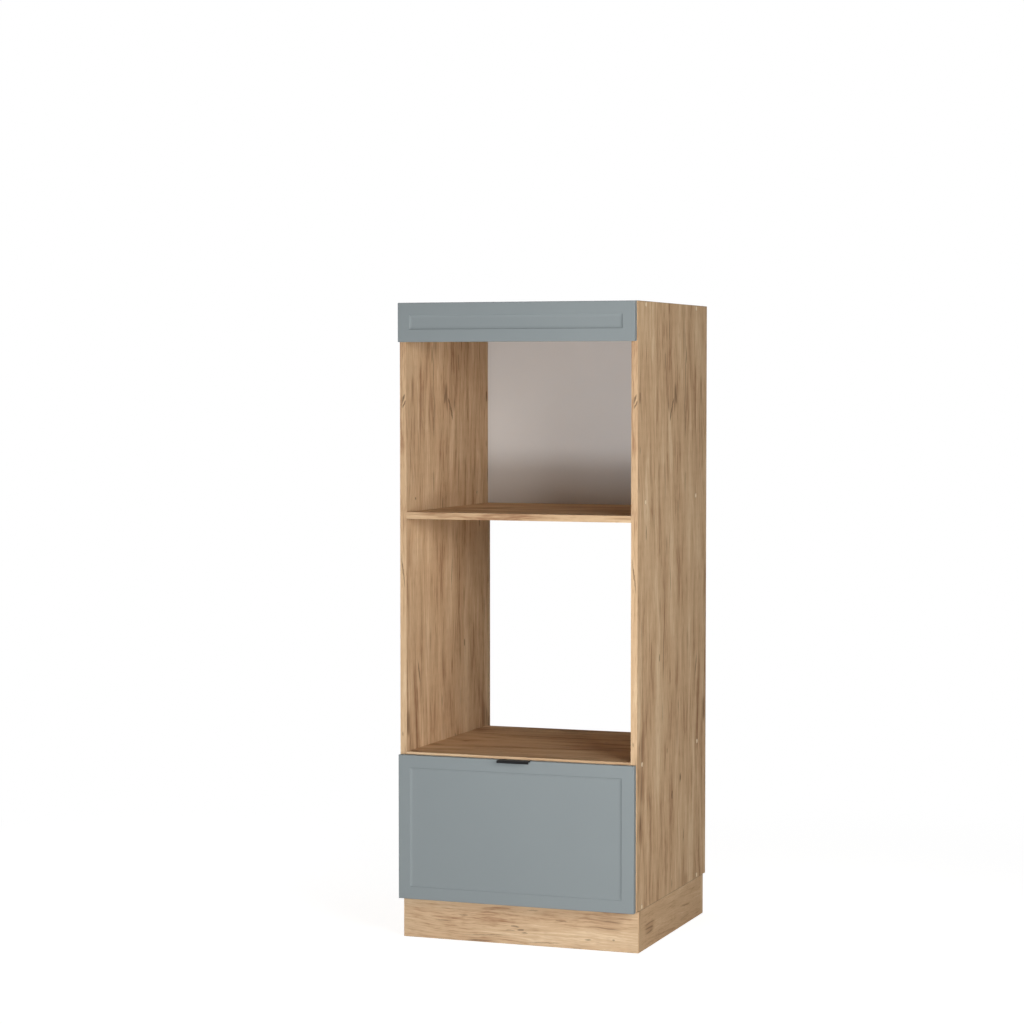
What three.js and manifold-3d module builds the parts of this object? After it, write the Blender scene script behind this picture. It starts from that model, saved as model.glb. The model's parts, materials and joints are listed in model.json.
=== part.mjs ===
// A tall kitchen unit for a built-in oven with a microwave above it: a carcass of laminated
// chipboard on a plinth box, a fascia at the top, two open niches, and one deep drawer below
// on ball-bearing slides.
//
// Millimetres, +Z up. The front faces -Y. The origin is on the floor, under the centre of the
// space that the whole unit takes up.

import * as THREE from "three";
import { mergeVertices } from "three/addons/utils/BufferGeometryUtils.js";
import Module from "manifold-3d";

const wasm = await Module();
wasm.setup();

// ---- Driving dimensions ----

// Carcass
const cabinetWidth = 600;
const carcassHeight = 1436;
const carcassDepth = 570;
const boardThickness = 16;
const drawerBayHeight = 322;
const ovenBayHeight = 563.5;
const ovenVentGap = 12;

// Back panels, in one groove down each side
const hardboardThickness = 3;
const backSetback = 13;
const backGrooveDepth = 8;
const backPanelReveal = 1;
const lowerBackDrop = 4;

// Plinth
const plinthHeight = 100;
const plinthSetback = 18;
const plinthSideInset = 1;
const plinthBracketFromCentre = 180;

// Fronts
const frontThickness = 16;
const frontGap = 3;
const frontSideReveal = 2;
const frontEndReveal = 0.5;
const frontEdgeRadius = 2;
const fasciaHeight = 94;
const drawerFrontTopReveal = 5.5;

// The shallow field milled into the face of both fronts, which leaves a frame round it
const frameMargin = 30;
const fieldDepth = 3;
const fieldCove = 9;

// Handle, an edge pull let into the top of the drawer front
const handleWidth = 80;
const handleSteel = 2;
const handleReach = 14.6;
const handleSeat = 12.4;
const handleLip = 6.3;
const handleScrewSpacing = 48;
const handleScrewRadius = 1.5;
const handleScrewHeadRadius = 2.9;
const handleScrewLength = 16;

// Drawer box
const drawerBoxHeight = 220;
const drawerBoxLift = 24;
const drawerBottomRise = 12;
const drawerGrooveDepth = 8;

// Drawer slides, in stock lengths: the longest that leaves the room behind the drawer
const slideStockStep = 50;
const drawerRearRoom = 40;
const slideHeight = 45.4;
const slideWidth = 12.7;
const slideSteel = 1.2;
const slideRise = 80;
const slideSetback = 2;
const slideMiddleShortening = 10;
const slideLip = 3.2;
const slideMouth = 2.5;
const slideBallDiameter = 4.4;
const slideRunning = 0.4;
const retainerSteel = 0.6;
const retainerLength = 170;
const retainerSetback = 188;

// Confirmat screws through the sides
const confirmatHeadRadius = 4.8;
const confirmatCollarRadius = 3.5;
const confirmatCoreRadius = 2.4;
const confirmatLength = 50;
const confirmatCollarLength = 15;
const confirmatSink = 0.3;
const confirmatSocketRadius = 2.3;
const confirmatSocketDepth = 4;
const lowScrewFrontSetback = 37;
const lowScrewRearSetback = 51;
const highScrewFrontSetback = 60;
const highScrewRearSetback = 80;

// Covered spare holes for a higher place of the microwave shelf
const spareHoleRise = 38;
const spareHoleRadius = 3.5;
const coverRadius = 6;
const coverThickness = 0.8;
const coverStemLength = 8;

// Cam fittings of the microwave shelf
const camRadius = 7.2;
const camHeight = 12.5;
const camFromEnd = 24;
const camBoltRadius = 3.5;
const camBoltNeckRadius = 2;
const camBoltHeadRadius = 3.2;
const camBoltHeadLength = 3;
const camBoltThreadRadius = 2.4;
const camBoltThreadLength = 11;
const camSlotWidth = 1.6;
const camSlotDepth = 2;

// Angle brackets of the plinth and the fascia
const bracketLeg = 30;
const bracketWidth = 18;
const bracketSteel = 2;
const bracketHoleRadius = 2.2;

// Clearances
const seam = 0.2; // between boards, and between a board and what is screwed to it
const drilled = 0.3; // round a screw, bolt, cam or plug in its bore
const grooved = 0.2; // on each side of a panel in its groove
const drillOvershoot = 1; // how far a cut runs past the face it starts from

const roundSides = 12; // facets of everything turned
const edgeSteps = 3; // facets of a rounded edge or a cove on a front

// ---- Levels and planes that follow from them ----

// Heights are counted from the underside of the carcass, depths from its front edges.
const innerHalfWidth = cabinetWidth / 2 - boardThickness;
const ovenShelfBottom = boardThickness + drawerBayHeight;
const microwaveShelfBottom = ovenShelfBottom + boardThickness + ovenBayHeight;
const microwaveShelfMiddle = microwaveShelfBottom + boardThickness / 2;
const topPanelBottom = carcassHeight - boardThickness;
const backPanelRear = carcassDepth - backSetback;
const backPanelFront = backPanelRear - hardboardThickness;
const frontBack = -frontGap;
const frontFace = frontBack - frontThickness;
const frontWidth = cabinetWidth - 2 * frontSideReveal;
const ovenShelfDepth = backPanelFront - ovenVentGap;
const ovenShelfTop = ovenShelfBottom + boardThickness;
const drawerFrontTop = ovenShelfTop - drawerFrontTopReveal;
const drawerFrontHeight = drawerFrontTop + frontEndReveal;
const unitDepthCentre = (frontFace - handleReach + carcassDepth) / 2;

const slideRoom = backPanelFront - drawerRearRoom;
const slideLength = slideStockStep * Math.floor(slideRoom / slideStockStep);
const slideCentre = drawerBoxLift + boardThickness + slideRise;
const drawerBoxHalfWidth = innerHalfWidth - slideWidth;
const drawerBoxFront = frontBack + seam;
const drawerBoxBack = drawerBoxFront + slideLength;
const drawerBoxBottom = boardThickness + drawerBoxLift;

// ---- Materials ----

const finish = (color, roughness, metalness = 0) =>
  new THREE.MeshStandardMaterial({ color, roughness, metalness });

const oakDecor = finish(0xb89a73, 0.6);
const greyFilm = finish(0x8b9598, 0.5);
const whiteHardboard = finish(0xd8d4ce, 0.7);
const blackMetal = finish(0x14110f, 0.45, 0.4);
const zincSteel = finish(0xa9abad, 0.35, 0.9);
const beigePlastic = finish(0xd2b48c, 0.5);

// ---- Shapes ----

const vector = (x, y, z) => new THREE.Vector3(x, y, z);
const spanBox = (x0, x1, y0, y1, z0, z1) =>
  new THREE.Box3(
    vector(Math.min(x0, x1), Math.min(y0, y1), Math.min(z0, z1)),
    vector(Math.max(x0, x1), Math.max(y0, y1), Math.max(z0, z1)),
  );

// A geometry as a solid that can be cut, and back.
function solidOf(geometry) {
  const bare = new THREE.BufferGeometry();
  bare.setAttribute("position", geometry.getAttribute("position"));
  bare.setIndex(geometry.index);
  const merged = mergeVertices(bare, 1e-4);
  const vertProperties = merged.getAttribute("position").array;
  const triVerts = new Uint32Array(merged.index.array);
  return new wasm.Manifold(new wasm.Mesh({ numProp: 3, vertProperties, triVerts }));
}

function geometryOf(solid) {
  const mesh = solid.getMesh();
  const geometry = new THREE.BufferGeometry();
  geometry.setAttribute("position", new THREE.BufferAttribute(mesh.vertProperties, 3));
  geometry.setIndex(new THREE.BufferAttribute(mesh.triVerts, 1));
  const faceted = geometry.toNonIndexed();
  faceted.computeVertexNormals();
  return faceted;
}

function carve(geometry, cutters) {
  const cut = cutters.reduce((rest, cutter) => rest.subtract(solidOf(cutter)), solidOf(geometry));
  return geometryOf(cut);
}

function boxGeometry(box) {
  const size = box.getSize(vector(0, 0, 0));
  const centre = box.getCenter(vector(0, 0, 0));
  return new THREE.BoxGeometry(size.x, size.y, size.z).translate(centre.x, centre.y, centre.z);
}

// A turned shape: its profile is a list of [radius, distance along the axis].
function turned(profile) {
  const points = profile.map(([radius, along]) => new THREE.Vector2(radius, along));
  return new THREE.LatheGeometry(points, roundSides);
}

// The turn that lays the +Y axis of a turned shape along a direction.
const turnTo = (direction) =>
  new THREE.Quaternion().setFromUnitVectors(vector(0, 1, 0), direction);

const placedTurned = (profile, start, direction) =>
  turned(profile).applyQuaternion(turnTo(direction)).translate(start.x, start.y, start.z);

// The bore that a turned piece needs: its own profile, wider by the drilled clearance, and
// open past the face it is drilled from.
function boreProfile(profile) {
  const inner = profile.slice(1, -1).map(([radius, along]) => [radius + drilled, along]);
  const mouth = profile[0][1] - drillOvershoot;
  const end = profile.at(-1)[1] + drilled;
  return [[0, mouth], [inner[0][0], mouth], ...inner, [inner.at(-1)[0], end], [0, end]];
}

const plainBore = (radius, depth) => [
  [0, -drillOvershoot],
  [radius, -drillOvershoot],
  [radius, depth],
  [0, depth],
];

// A closed skin over rectangles, each inset from an outline and standing at its own height
// over the back face.
function rectangleSkin(width, height, sections) {
  const corners = [[-1, -1], [1, -1], [1, 1], [-1, 1]];
  const positions = sections.flatMap(([inset, out]) =>
    corners.flatMap(([x, z]) => [x * (width / 2 - inset), -out, z * (height / 2 - inset)]),
  );
  const last = (sections.length - 1) * 4;
  const index = [0, 2, 1, 0, 3, 2, last, last + 1, last + 2, last, last + 2, last + 3];
  for (let near = 0; near < last; near += 4) {
    const far = near + 4;
    for (let k = 0; k < 4; k++) {
      const m = (k + 1) % 4;
      index.push(near + k, near + m, far + m, near + k, far + m, far + k);
    }
  }
  const geometry = new THREE.BufferGeometry();
  geometry.setAttribute("position", new THREE.Float32BufferAttribute(positions, 3));
  geometry.setIndex(index);
  return geometry;
}

// A straight bar along +Y from the origin, with a section in the XZ plane.
function barAlongY(points, length) {
  const section = new THREE.Shape(points.map(([x, z]) => new THREE.Vector2(x, z)));
  const bar = new THREE.ExtrudeGeometry(section, { depth: length, bevelEnabled: false });
  return bar.rotateX(Math.PI / 2).translate(0, length, 0);
}

// ---- Placing ----

function meshOf(name, geometry, material, position = vector(0, 0, 0)) {
  const mesh = new THREE.Mesh(geometry, material);
  mesh.name = name;
  mesh.position.copy(position);
  return mesh;
}

// A board with its own centre as its origin. Its cuts are given where they lie in the group.
function boardMesh(name, box, material, cuts = []) {
  const centre = box.getCenter(vector(0, 0, 0));
  const away = centre.clone().negate();
  const blank = boxGeometry(box.clone().translate(away));
  const cutters = cuts.map((cut) => cut.clone().translate(away.x, away.y, away.z));
  return meshOf(name, carve(blank, cutters), material, centre);
}

function turnedMesh(name, geometry, material, start, direction) {
  const mesh = meshOf(name, geometry, material, start);
  mesh.quaternion.copy(turnTo(direction));
  return mesh;
}

const sides = [
  { side: "left", sign: -1 },
  { side: "right", sign: 1 },
];
const lowRow = [
  { end: "front", y: lowScrewFrontSetback },
  { end: "rear", y: ovenShelfDepth - lowScrewRearSetback },
];
const highRow = [
  { end: "front", y: highScrewFrontSetback },
  { end: "rear", y: backPanelFront - highScrewRearSetback },
];

// ---- Confirmat screws ----

// The head is a short disc on a cone, the collar fills the side board and the threaded part,
// drawn at its core diameter, is in the end of the shelf.
const confirmatHeadDisc = 0.8;
const confirmatTip = 3;
const confirmatHeadCone = confirmatHeadRadius - confirmatCollarRadius;
const confirmatProfile = [
  [0, 0],
  [confirmatHeadRadius, 0],
  [confirmatHeadRadius, confirmatHeadDisc],
  [confirmatCollarRadius, confirmatHeadDisc + confirmatHeadCone],
  [confirmatCollarRadius, confirmatCollarLength],
  [confirmatCoreRadius, confirmatCollarLength + confirmatCollarRadius - confirmatCoreRadius],
  [confirmatCoreRadius, confirmatLength - confirmatTip],
  [0, confirmatLength],
];
const confirmats = [
  { level: "bottom", z: boardThickness / 2, row: lowRow },
  { level: "oven", z: ovenShelfBottom + boardThickness / 2, row: lowRow },
  { level: "top", z: topPanelBottom + boardThickness / 2, row: highRow },
].flatMap(({ level, z, row }) =>
  sides.flatMap(({ side, sign }) =>
    row.map(({ end, y }) => ({
      name: `confirmat_${level}_${side}_${end}`,
      level,
      side,
      start: vector(sign * (cabinetWidth / 2 - confirmatSink), y, z),
      direction: vector(-sign, 0, 0),
    })),
  ),
);

function confirmatGeometry() {
  const socket = new THREE.CylinderGeometry(
    confirmatSocketRadius,
    confirmatSocketRadius,
    confirmatSocketDepth + drillOvershoot,
    6,
  ).translate(0, (confirmatSocketDepth - drillOvershoot) / 2, 0);
  return carve(turned(confirmatProfile), [socket]);
}

const confirmatBores = (wanted) =>
  confirmats
    .filter(wanted)
    .map(({ start, direction }) => placedTurned(boreProfile(confirmatProfile), start, direction));

// ---- Covered spare holes ----

const spareHoleLevel = microwaveShelfMiddle + spareHoleRise;
const coverShoulder = 2;
const coverProfile = [
  [0, -coverThickness],
  [coverRadius - coverShoulder, -coverThickness],
  [coverRadius, -coverThickness / 2],
  [coverRadius, 0],
  [spareHoleRadius - drilled, 0],
  [spareHoleRadius - drilled, coverStemLength],
  [0, coverStemLength],
];
const covers = sides.flatMap(({ side, sign }) =>
  highRow.map(({ end, y }) => ({
    name: `hole_cover_${side}_${end}`,
    side,
    start: vector(sign * (cabinetWidth / 2 + seam), y, spareHoleLevel),
    direction: vector(-sign, 0, 0),
  })),
);
const spareHoles = (wantedSide) =>
  covers
    .filter(({ side }) => side === wantedSide)
    .map(({ start, direction }) =>
      placedTurned(plainBore(spareHoleRadius, boardThickness + drillOvershoot), start, direction),
    );

// ---- Cam fittings of the microwave shelf ----

// Each bolt is screwed into the side and its head sits in a cam let into the shelf from below.
const shelfEndGap = seam;
const camBoltSpan = shelfEndGap + camFromEnd;
const camBoltProfile = [
  [0, -camBoltThreadLength],
  [camBoltThreadRadius, -camBoltThreadLength],
  [camBoltThreadRadius, 0],
  [camBoltRadius, 0],
  [camBoltRadius, camBoltSpan - camRadius - drilled],
  [camBoltNeckRadius, camBoltSpan - camRadius - drilled],
  [camBoltNeckRadius, camBoltSpan - camBoltHeadLength],
  [camBoltHeadRadius, camBoltSpan - camBoltHeadLength],
  [camBoltHeadRadius, camBoltSpan],
  [0, camBoltSpan],
];
const camFittings = sides.flatMap(({ side, sign }) =>
  highRow.map(({ end, y }) => ({
    name: `${side}_${end}`,
    side,
    bolt: vector(sign * innerHalfWidth, y, microwaveShelfMiddle),
    direction: vector(-sign, 0, 0),
    cam: vector(sign * (innerHalfWidth - camBoltSpan), y, microwaveShelfBottom),
  })),
);
const camProfile = [
  [0, 0],
  [camRadius, 0],
  [camRadius, camHeight],
  [0, camHeight],
];
const up = vector(0, 0, 1);

// The cam is open towards the shelf's end, so that the bolt's neck and head can enter it.
function camGeometry(direction) {
  const boltLevel = boardThickness / 2;
  const open = camBoltHeadRadius + drilled;
  const mouth = boxGeometry(
    spanBox(
      (camBoltHeadLength / 2 + drilled) * direction.x,
      -(camRadius + drillOvershoot) * direction.x,
      -open,
      open,
      boltLevel - open,
      boltLevel + open,
    ),
  );
  const slot = boxGeometry(
    spanBox(
      -camRadius / 2,
      camRadius / 2,
      -camSlotWidth / 2,
      camSlotWidth / 2,
      -drillOvershoot,
      camSlotDepth,
    ),
  );
  const crossSlot = slot.clone().rotateZ(Math.PI / 2);
  return carve(placedTurned(camProfile, vector(0, 0, 0), up), [mouth, slot, crossSlot]);
}

const camBoltHoles = (wantedSide) =>
  camFittings
    .filter(({ side }) => side === wantedSide)
    .map(({ bolt, direction }) => {
      const inward = direction.clone().negate();
      return placedTurned(
        plainBore(camBoltThreadRadius + drilled, camBoltThreadLength + drilled),
        bolt,
        inward,
      );
    });

const shelfCamBores = camFittings.flatMap(({ bolt, direction, cam }) => [
  placedTurned(plainBore(camRadius + drilled, camHeight + drilled), cam, up),
  placedTurned(plainBore(camBoltRadius + drilled, camBoltSpan), bolt, direction),
]);

// ---- Angle brackets ----

// Two legs from the origin, one along +X and one along +Z, each with a hole for a screw.
function bracketGeometry() {
  const outline = [
    [0, 0],
    [bracketLeg, 0],
    [bracketLeg, bracketSteel],
    [bracketSteel, bracketSteel],
    [bracketSteel, bracketLeg],
    [0, bracketLeg],
  ];
  const bar = barAlongY(outline, bracketWidth).translate(0, -bracketWidth / 2, 0);
  const holeAt = (bracketLeg + bracketSteel) / 2;
  const through = plainBore(bracketHoleRadius, bracketSteel + drillOvershoot);
  return carve(bar, [
    placedTurned(through, vector(holeAt, 0, 0), vector(0, 0, 1)),
    placedTurned(through, vector(0, 0, holeAt), vector(1, 0, 0)),
  ]);
}

// A bracket with its legs turned along two directions.
function bracketMesh(name, place, firstLeg, secondLeg) {
  const mesh = meshOf(name, bracketGeometry(), zincSteel, place);
  const across = secondLeg.clone().cross(firstLeg);
  mesh.quaternion.setFromRotationMatrix(
    new THREE.Matrix4().makeBasis(firstLeg, across, secondLeg),
  );
  return mesh;
}

// ---- Plinth box ----

function buildPlinth() {
  const group = new THREE.Group();
  const halfWidth = cabinetWidth / 2 - plinthSideInset;
  const front = plinthSetback;
  const back = carcassDepth - plinthSetback;
  const top = plinthHeight - seam;
  const sideFront = front + boardThickness + seam;
  const sideBack = back - boardThickness - seam;
  const frontBox = spanBox(-halfWidth, halfWidth, front, front + boardThickness, 0, top);
  const backBox = spanBox(-halfWidth, halfWidth, back - boardThickness, back, 0, top);
  group.add(boardMesh("plinth_front", frontBox, oakDecor));
  group.add(boardMesh("plinth_back", backBox, oakDecor));
  for (const { side, sign } of sides) {
    const inner = sign * (halfWidth - boardThickness);
    const box = spanBox(sign * halfWidth, inner, sideFront, sideBack, 0, top);
    group.add(boardMesh(`plinth_${side}`, box, oakDecor));
    for (const { end, y, inward } of [
      { end: "front", y: sideFront, inward: vector(0, 1, 0) },
      { end: "rear", y: sideBack, inward: vector(0, -1, 0) },
    ]) {
      const place = vector(sign * plinthBracketFromCentre, y, top);
      const down = vector(0, 0, -1);
      group.add(bracketMesh(`plinth_bracket_${side}_${end}`, place, inward, down));
    }
  }
  return group;
}

// ---- Carcass ----

const backGrooves = sides.map(({ sign }) =>
  boxGeometry(
    spanBox(
      sign * (innerHalfWidth - drillOvershoot),
      sign * (innerHalfWidth + backGrooveDepth),
      backPanelFront - grooved,
      backPanelRear + grooved,
      -drillOvershoot,
      carcassHeight + drillOvershoot,
    ),
  ),
);

function buildSide({ side, sign }, index) {
  const box = spanBox(
    sign * innerHalfWidth,
    sign * (cabinetWidth / 2),
    0,
    carcassDepth,
    0,
    carcassHeight,
  );
  return boardMesh(`side_${side}`, box, oakDecor, [
    backGrooves[index],
    ...confirmatBores((screw) => screw.side === side),
    ...spareHoles(side),
    ...camBoltHoles(side),
  ]);
}

function shelfMesh(name, bottom, depth, cuts) {
  const halfLength = innerHalfWidth - shelfEndGap;
  const box = spanBox(-halfLength, halfLength, 0, depth, bottom, bottom + boardThickness);
  return boardMesh(name, box, oakDecor, cuts);
}

function backPanelMesh(name, bottom, top) {
  const halfWidth = innerHalfWidth + backGrooveDepth - grooved;
  const box = spanBox(-halfWidth, halfWidth, backPanelFront, backPanelRear, bottom, top);
  return boardMesh(name, box, whiteHardboard);
}

// A front board with its four outer edges rounded, and the field that is milled out of its
// face: flat, with a cove that rises to a steep wall at the frame.
function frontGeometry(height) {
  const turns = Array.from({ length: edgeSteps + 1 }, (_, step) => {
    const angle = (step / edgeSteps) * (Math.PI / 2);
    return [Math.cos(angle), Math.sin(angle)];
  });
  const rounding = turns.map(([cos, sin]) => [
    frontEdgeRadius * (1 - cos),
    frontThickness - frontEdgeRadius * (1 - sin),
  ]);
  const cove = turns.map(([cos, sin]) => [
    frameMargin + fieldCove * (1 - sin),
    frontThickness - fieldDepth * cos,
  ]);
  const blank = rectangleSkin(frontWidth, height, [[0, 0], ...rounding]);
  const field = rectangleSkin(frontWidth, height, [
    ...cove,
    [frameMargin, frontThickness + drillOvershoot],
  ]);
  return { blank, field };
}

function buildFascia() {
  const group = new THREE.Group();
  const middle = carcassHeight - frontEndReveal - fasciaHeight / 2;
  const { blank, field } = frontGeometry(fasciaHeight);
  group.add(meshOf("fascia", carve(blank, [field]), greyFilm, vector(0, frontBack, middle)));
  // A leg of each bracket lies on the inside of a side, and the other on the fascia's back.
  const freeMiddle = (carcassHeight - frontEndReveal - fasciaHeight + topPanelBottom) / 2;
  for (const { side, sign } of sides) {
    const place = vector(sign * (innerHalfWidth - seam), frontBack + seam, freeMiddle);
    const rearward = vector(0, 1, 0);
    const inward = vector(-sign, 0, 0);
    group.add(bracketMesh(`fascia_bracket_${side}`, place, rearward, inward));
  }
  return group;
}

function buildCarcass() {
  const group = new THREE.Group();
  const fullDepth = backPanelFront - seam;
  const boresAt = (level) => confirmatBores((screw) => screw.level === level);
  group.add(
    ...sides.map(buildSide),
    shelfMesh("bottom_panel", 0, fullDepth, boresAt("bottom")),
    shelfMesh("oven_shelf", ovenShelfBottom, ovenShelfDepth, boresAt("oven")),
    shelfMesh("microwave_shelf", microwaveShelfBottom, fullDepth, shelfCamBores),
    shelfMesh("top_panel", topPanelBottom, fullDepth, boresAt("top")),
    backPanelMesh("back_panel_lower", backPanelReveal, ovenShelfTop - lowerBackDrop),
    backPanelMesh("back_panel_upper", microwaveShelfBottom, carcassHeight - backPanelReveal),
  );
  for (const { name, start, direction } of confirmats)
    group.add(turnedMesh(name, confirmatGeometry(), zincSteel, start, direction));
  for (const { name, start, direction } of covers)
    group.add(turnedMesh(name, turned(coverProfile), beigePlastic, start, direction));
  for (const { name, bolt, direction, cam } of camFittings) {
    group.add(turnedMesh(`cam_bolt_${name}`, turned(camBoltProfile), zincSteel, bolt, direction));
    group.add(meshOf(`shelf_cam_${name}`, camGeometry(direction), zincSteel, cam));
  }
  group.add(buildFascia());
  return group;
}

// ---- Drawer slides ----

// Widths are counted from the inside of the cabinet's side towards the drawer, and heights
// from the slide's centre line.
const middleWeb = slideSteel + 2 * slideRunning + retainerSteel;
const innerTip = middleWeb + slideSteel + 2 * slideRunning + retainerSteel;
const outerDepth = slideWidth - slideMouth;
const middleDepth = outerDepth - retainerSteel;
const ballTrack = slideBallDiameter + 2 * slideRunning;
const outerHalfHeight = slideHeight / 2;
const middleHalfHeight = outerHalfHeight - slideSteel - ballTrack;
const innerHalfHeight = middleHalfHeight - slideSteel - ballTrack;

// A channel from one width to another, open towards the second, with lips turned inwards.
function channelOutline(sign, from, to, half, wall, lip) {
  const step = Math.sign(to - from) * wall;
  const upper = [
    [from + step, half - wall],
    [to - step, half - wall],
    [to - step, half - lip],
    [to, half - lip],
    [to, half],
    [from, half],
  ];
  const lower = upper.map(([across, z]) => [across, -z]).reverse();
  return [...upper, ...lower].map(([across, z]) => [-sign * across, z]);
}

function slideMember(name, sign, outline, start, length) {
  const place = vector(sign * (innerHalfWidth - seam), start, slideCentre);
  return meshOf(name, barAlongY(outline, length), zincSteel, place);
}

function buildSlides() {
  const group = new THREE.Group();
  const memberLip = slideSteel + slideRunning * 4;
  const boxSide = slideWidth - 2 * seam;
  const middleStart = slideSetback + slideMiddleShortening / 2;
  const middleLength = slideLength - slideMiddleShortening;
  const outerRetainerMouth = outerDepth - slideSteel - slideRunning;
  const innerRetainerMouth = middleDepth - slideSteel - slideRunning;
  const retainerOver = (inner, outerInside) => (inner + outerInside + retainerSteel) / 2;
  const outerRetainerHalf = retainerOver(middleHalfHeight, outerHalfHeight - slideSteel);
  const innerRetainerHalf = retainerOver(innerHalfHeight, middleHalfHeight - slideSteel);
  for (const { side, sign } of sides) {
    const members = [
      {
        name: `slide_outer_${side}`,
        outline: channelOutline(sign, 0, outerDepth, outerHalfHeight, slideSteel, slideLip),
        start: slideSetback,
        length: slideLength,
      },
      {
        name: `slide_middle_${side}`,
        outline: channelOutline(
          sign,
          middleWeb,
          middleDepth,
          middleHalfHeight,
          slideSteel,
          memberLip,
        ),
        start: middleStart,
        length: middleLength,
      },
      {
        name: `slide_inner_${side}`,
        outline: channelOutline(sign, boxSide, innerTip, innerHalfHeight, slideSteel, slideSteel),
        start: drawerBoxFront,
        length: slideLength,
      },
      {
        name: `ball_retainer_outer_${side}`,
        outline: channelOutline(
          sign,
          slideSteel + slideRunning,
          outerRetainerMouth,
          outerRetainerHalf,
          retainerSteel,
          retainerSteel,
        ),
        start: retainerSetback,
        length: retainerLength,
      },
      {
        name: `ball_retainer_inner_${side}`,
        outline: channelOutline(
          sign,
          middleWeb + slideSteel + slideRunning,
          innerRetainerMouth,
          innerRetainerHalf,
          retainerSteel,
          retainerSteel,
        ),
        start: retainerSetback,
        length: retainerLength,
      },
    ];
    for (const { name, outline, start, length } of members)
      group.add(slideMember(name, sign, outline, start, length));
  }
  return group;
}

// ---- Drawer ----

function handleScrewHoles(top) {
  const profile = [
    [0, 0],
    [handleScrewHeadRadius, 0],
    [handleScrewRadius, handleScrewHeadRadius - handleScrewRadius],
    [handleScrewRadius, handleScrewLength],
    [0, handleScrewLength],
  ];
  const y = frontFace + handleSeat / 2;
  return sides.map(({ sign }) =>
    placedTurned(
      boreProfile(profile),
      vector((sign * handleScrewSpacing) / 2, y, top),
      vector(0, 0, -1),
    ),
  );
}

// A plate on the drawer front's top edge that reaches forward and turns down into a lip.
function handleMesh() {
  const back = frontFace + handleSeat;
  const tip = frontFace - handleReach;
  const outline = [
    [0, 0],
    [back - tip, 0],
    [back - tip, -handleSteel],
    [handleSteel, -handleSteel],
    [handleSteel, -handleLip],
    [0, -handleLip],
  ];
  const place = vector(0, tip, drawerFrontTop);
  const bar = barAlongY(outline, handleWidth)
    .translate(0, -handleWidth / 2, 0)
    .rotateZ(Math.PI / 2);
  const away = place.clone().negate();
  const holes = handleScrewHoles(drawerFrontTop).map((hole) =>
    hole.translate(away.x, away.y, away.z),
  );
  return meshOf("drawer_handle", carve(bar, holes), blackMetal, place);
}

function drawerFrontMesh() {
  const middle = drawerFrontTop - drawerFrontHeight / 2;
  const place = vector(0, frontBack, middle);
  const { blank, field } = frontGeometry(drawerFrontHeight);
  const seat = boxGeometry(
    spanBox(
      -handleWidth / 2 - seam,
      handleWidth / 2 + seam,
      frontFace - drillOvershoot,
      frontFace + handleSeat + seam,
      drawerFrontTop - handleSteel - seam,
      drawerFrontTop + drillOvershoot,
    ),
  );
  const cuts = [seat, ...handleScrewHoles(drawerFrontTop)].map((cut) =>
    cut.translate(-place.x, -place.y, -place.z),
  );
  return meshOf("drawer_front", carve(blank, [field, ...cuts]), greyFilm, place);
}

function buildDrawer() {
  const group = new THREE.Group();
  const insideHalf = drawerBoxHalfWidth - boardThickness;
  const top = drawerBoxBottom + drawerBoxHeight;
  const frontInside = drawerBoxFront + boardThickness;
  const backInside = drawerBoxBack - boardThickness;
  const into = drawerGrooveDepth - grooved;
  const bottomPanel = spanBox(
    -insideHalf - into,
    insideHalf + into,
    frontInside - into,
    backInside + into,
    drawerBoxBottom + drawerBottomRise,
    drawerBoxBottom + drawerBottomRise + hardboardThickness,
  );
  const groove = boxGeometry(bottomPanel.clone().expandByScalar(grooved));
  group.add(drawerFrontMesh());
  group.add(handleMesh());
  for (const { side, sign } of sides) {
    const box = spanBox(
      sign * insideHalf,
      sign * drawerBoxHalfWidth,
      drawerBoxFront,
      drawerBoxBack,
      drawerBoxBottom,
      top,
    );
    group.add(boardMesh(`drawer_side_${side}`, box, oakDecor, [groove]));
  }
  const crossHalf = insideHalf - seam;
  for (const { name, from, to } of [
    { name: "drawer_inner_front", from: drawerBoxFront, to: frontInside },
    { name: "drawer_back", from: backInside, to: drawerBoxBack },
  ]) {
    const box = spanBox(-crossHalf, crossHalf, from, to, drawerBoxBottom, top);
    group.add(boardMesh(name, box, oakDecor, [groove]));
  }
  group.add(boardMesh("drawer_bottom", bottomPanel, whiteHardboard));
  return group;
}

// ---- The whole unit ----

const cabinet = new THREE.Group();
const carcass = buildCarcass();
const slides = buildSlides();
const drawer = buildDrawer();
for (const raised of [carcass, slides, drawer]) raised.position.z = plinthHeight;
cabinet.add(buildPlinth(), carcass, slides, drawer);
cabinet.position.y = -unitDepthCentre;

export default cabinet;
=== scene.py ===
# A tall kitchen unit: an oak-decor carcass on a plinth box, a blue-grey fascia over a microwave
# niche with a white back, an open oven niche under it, and a deep drawer with a blue-grey front.
import json
import math
from functools import partial

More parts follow.
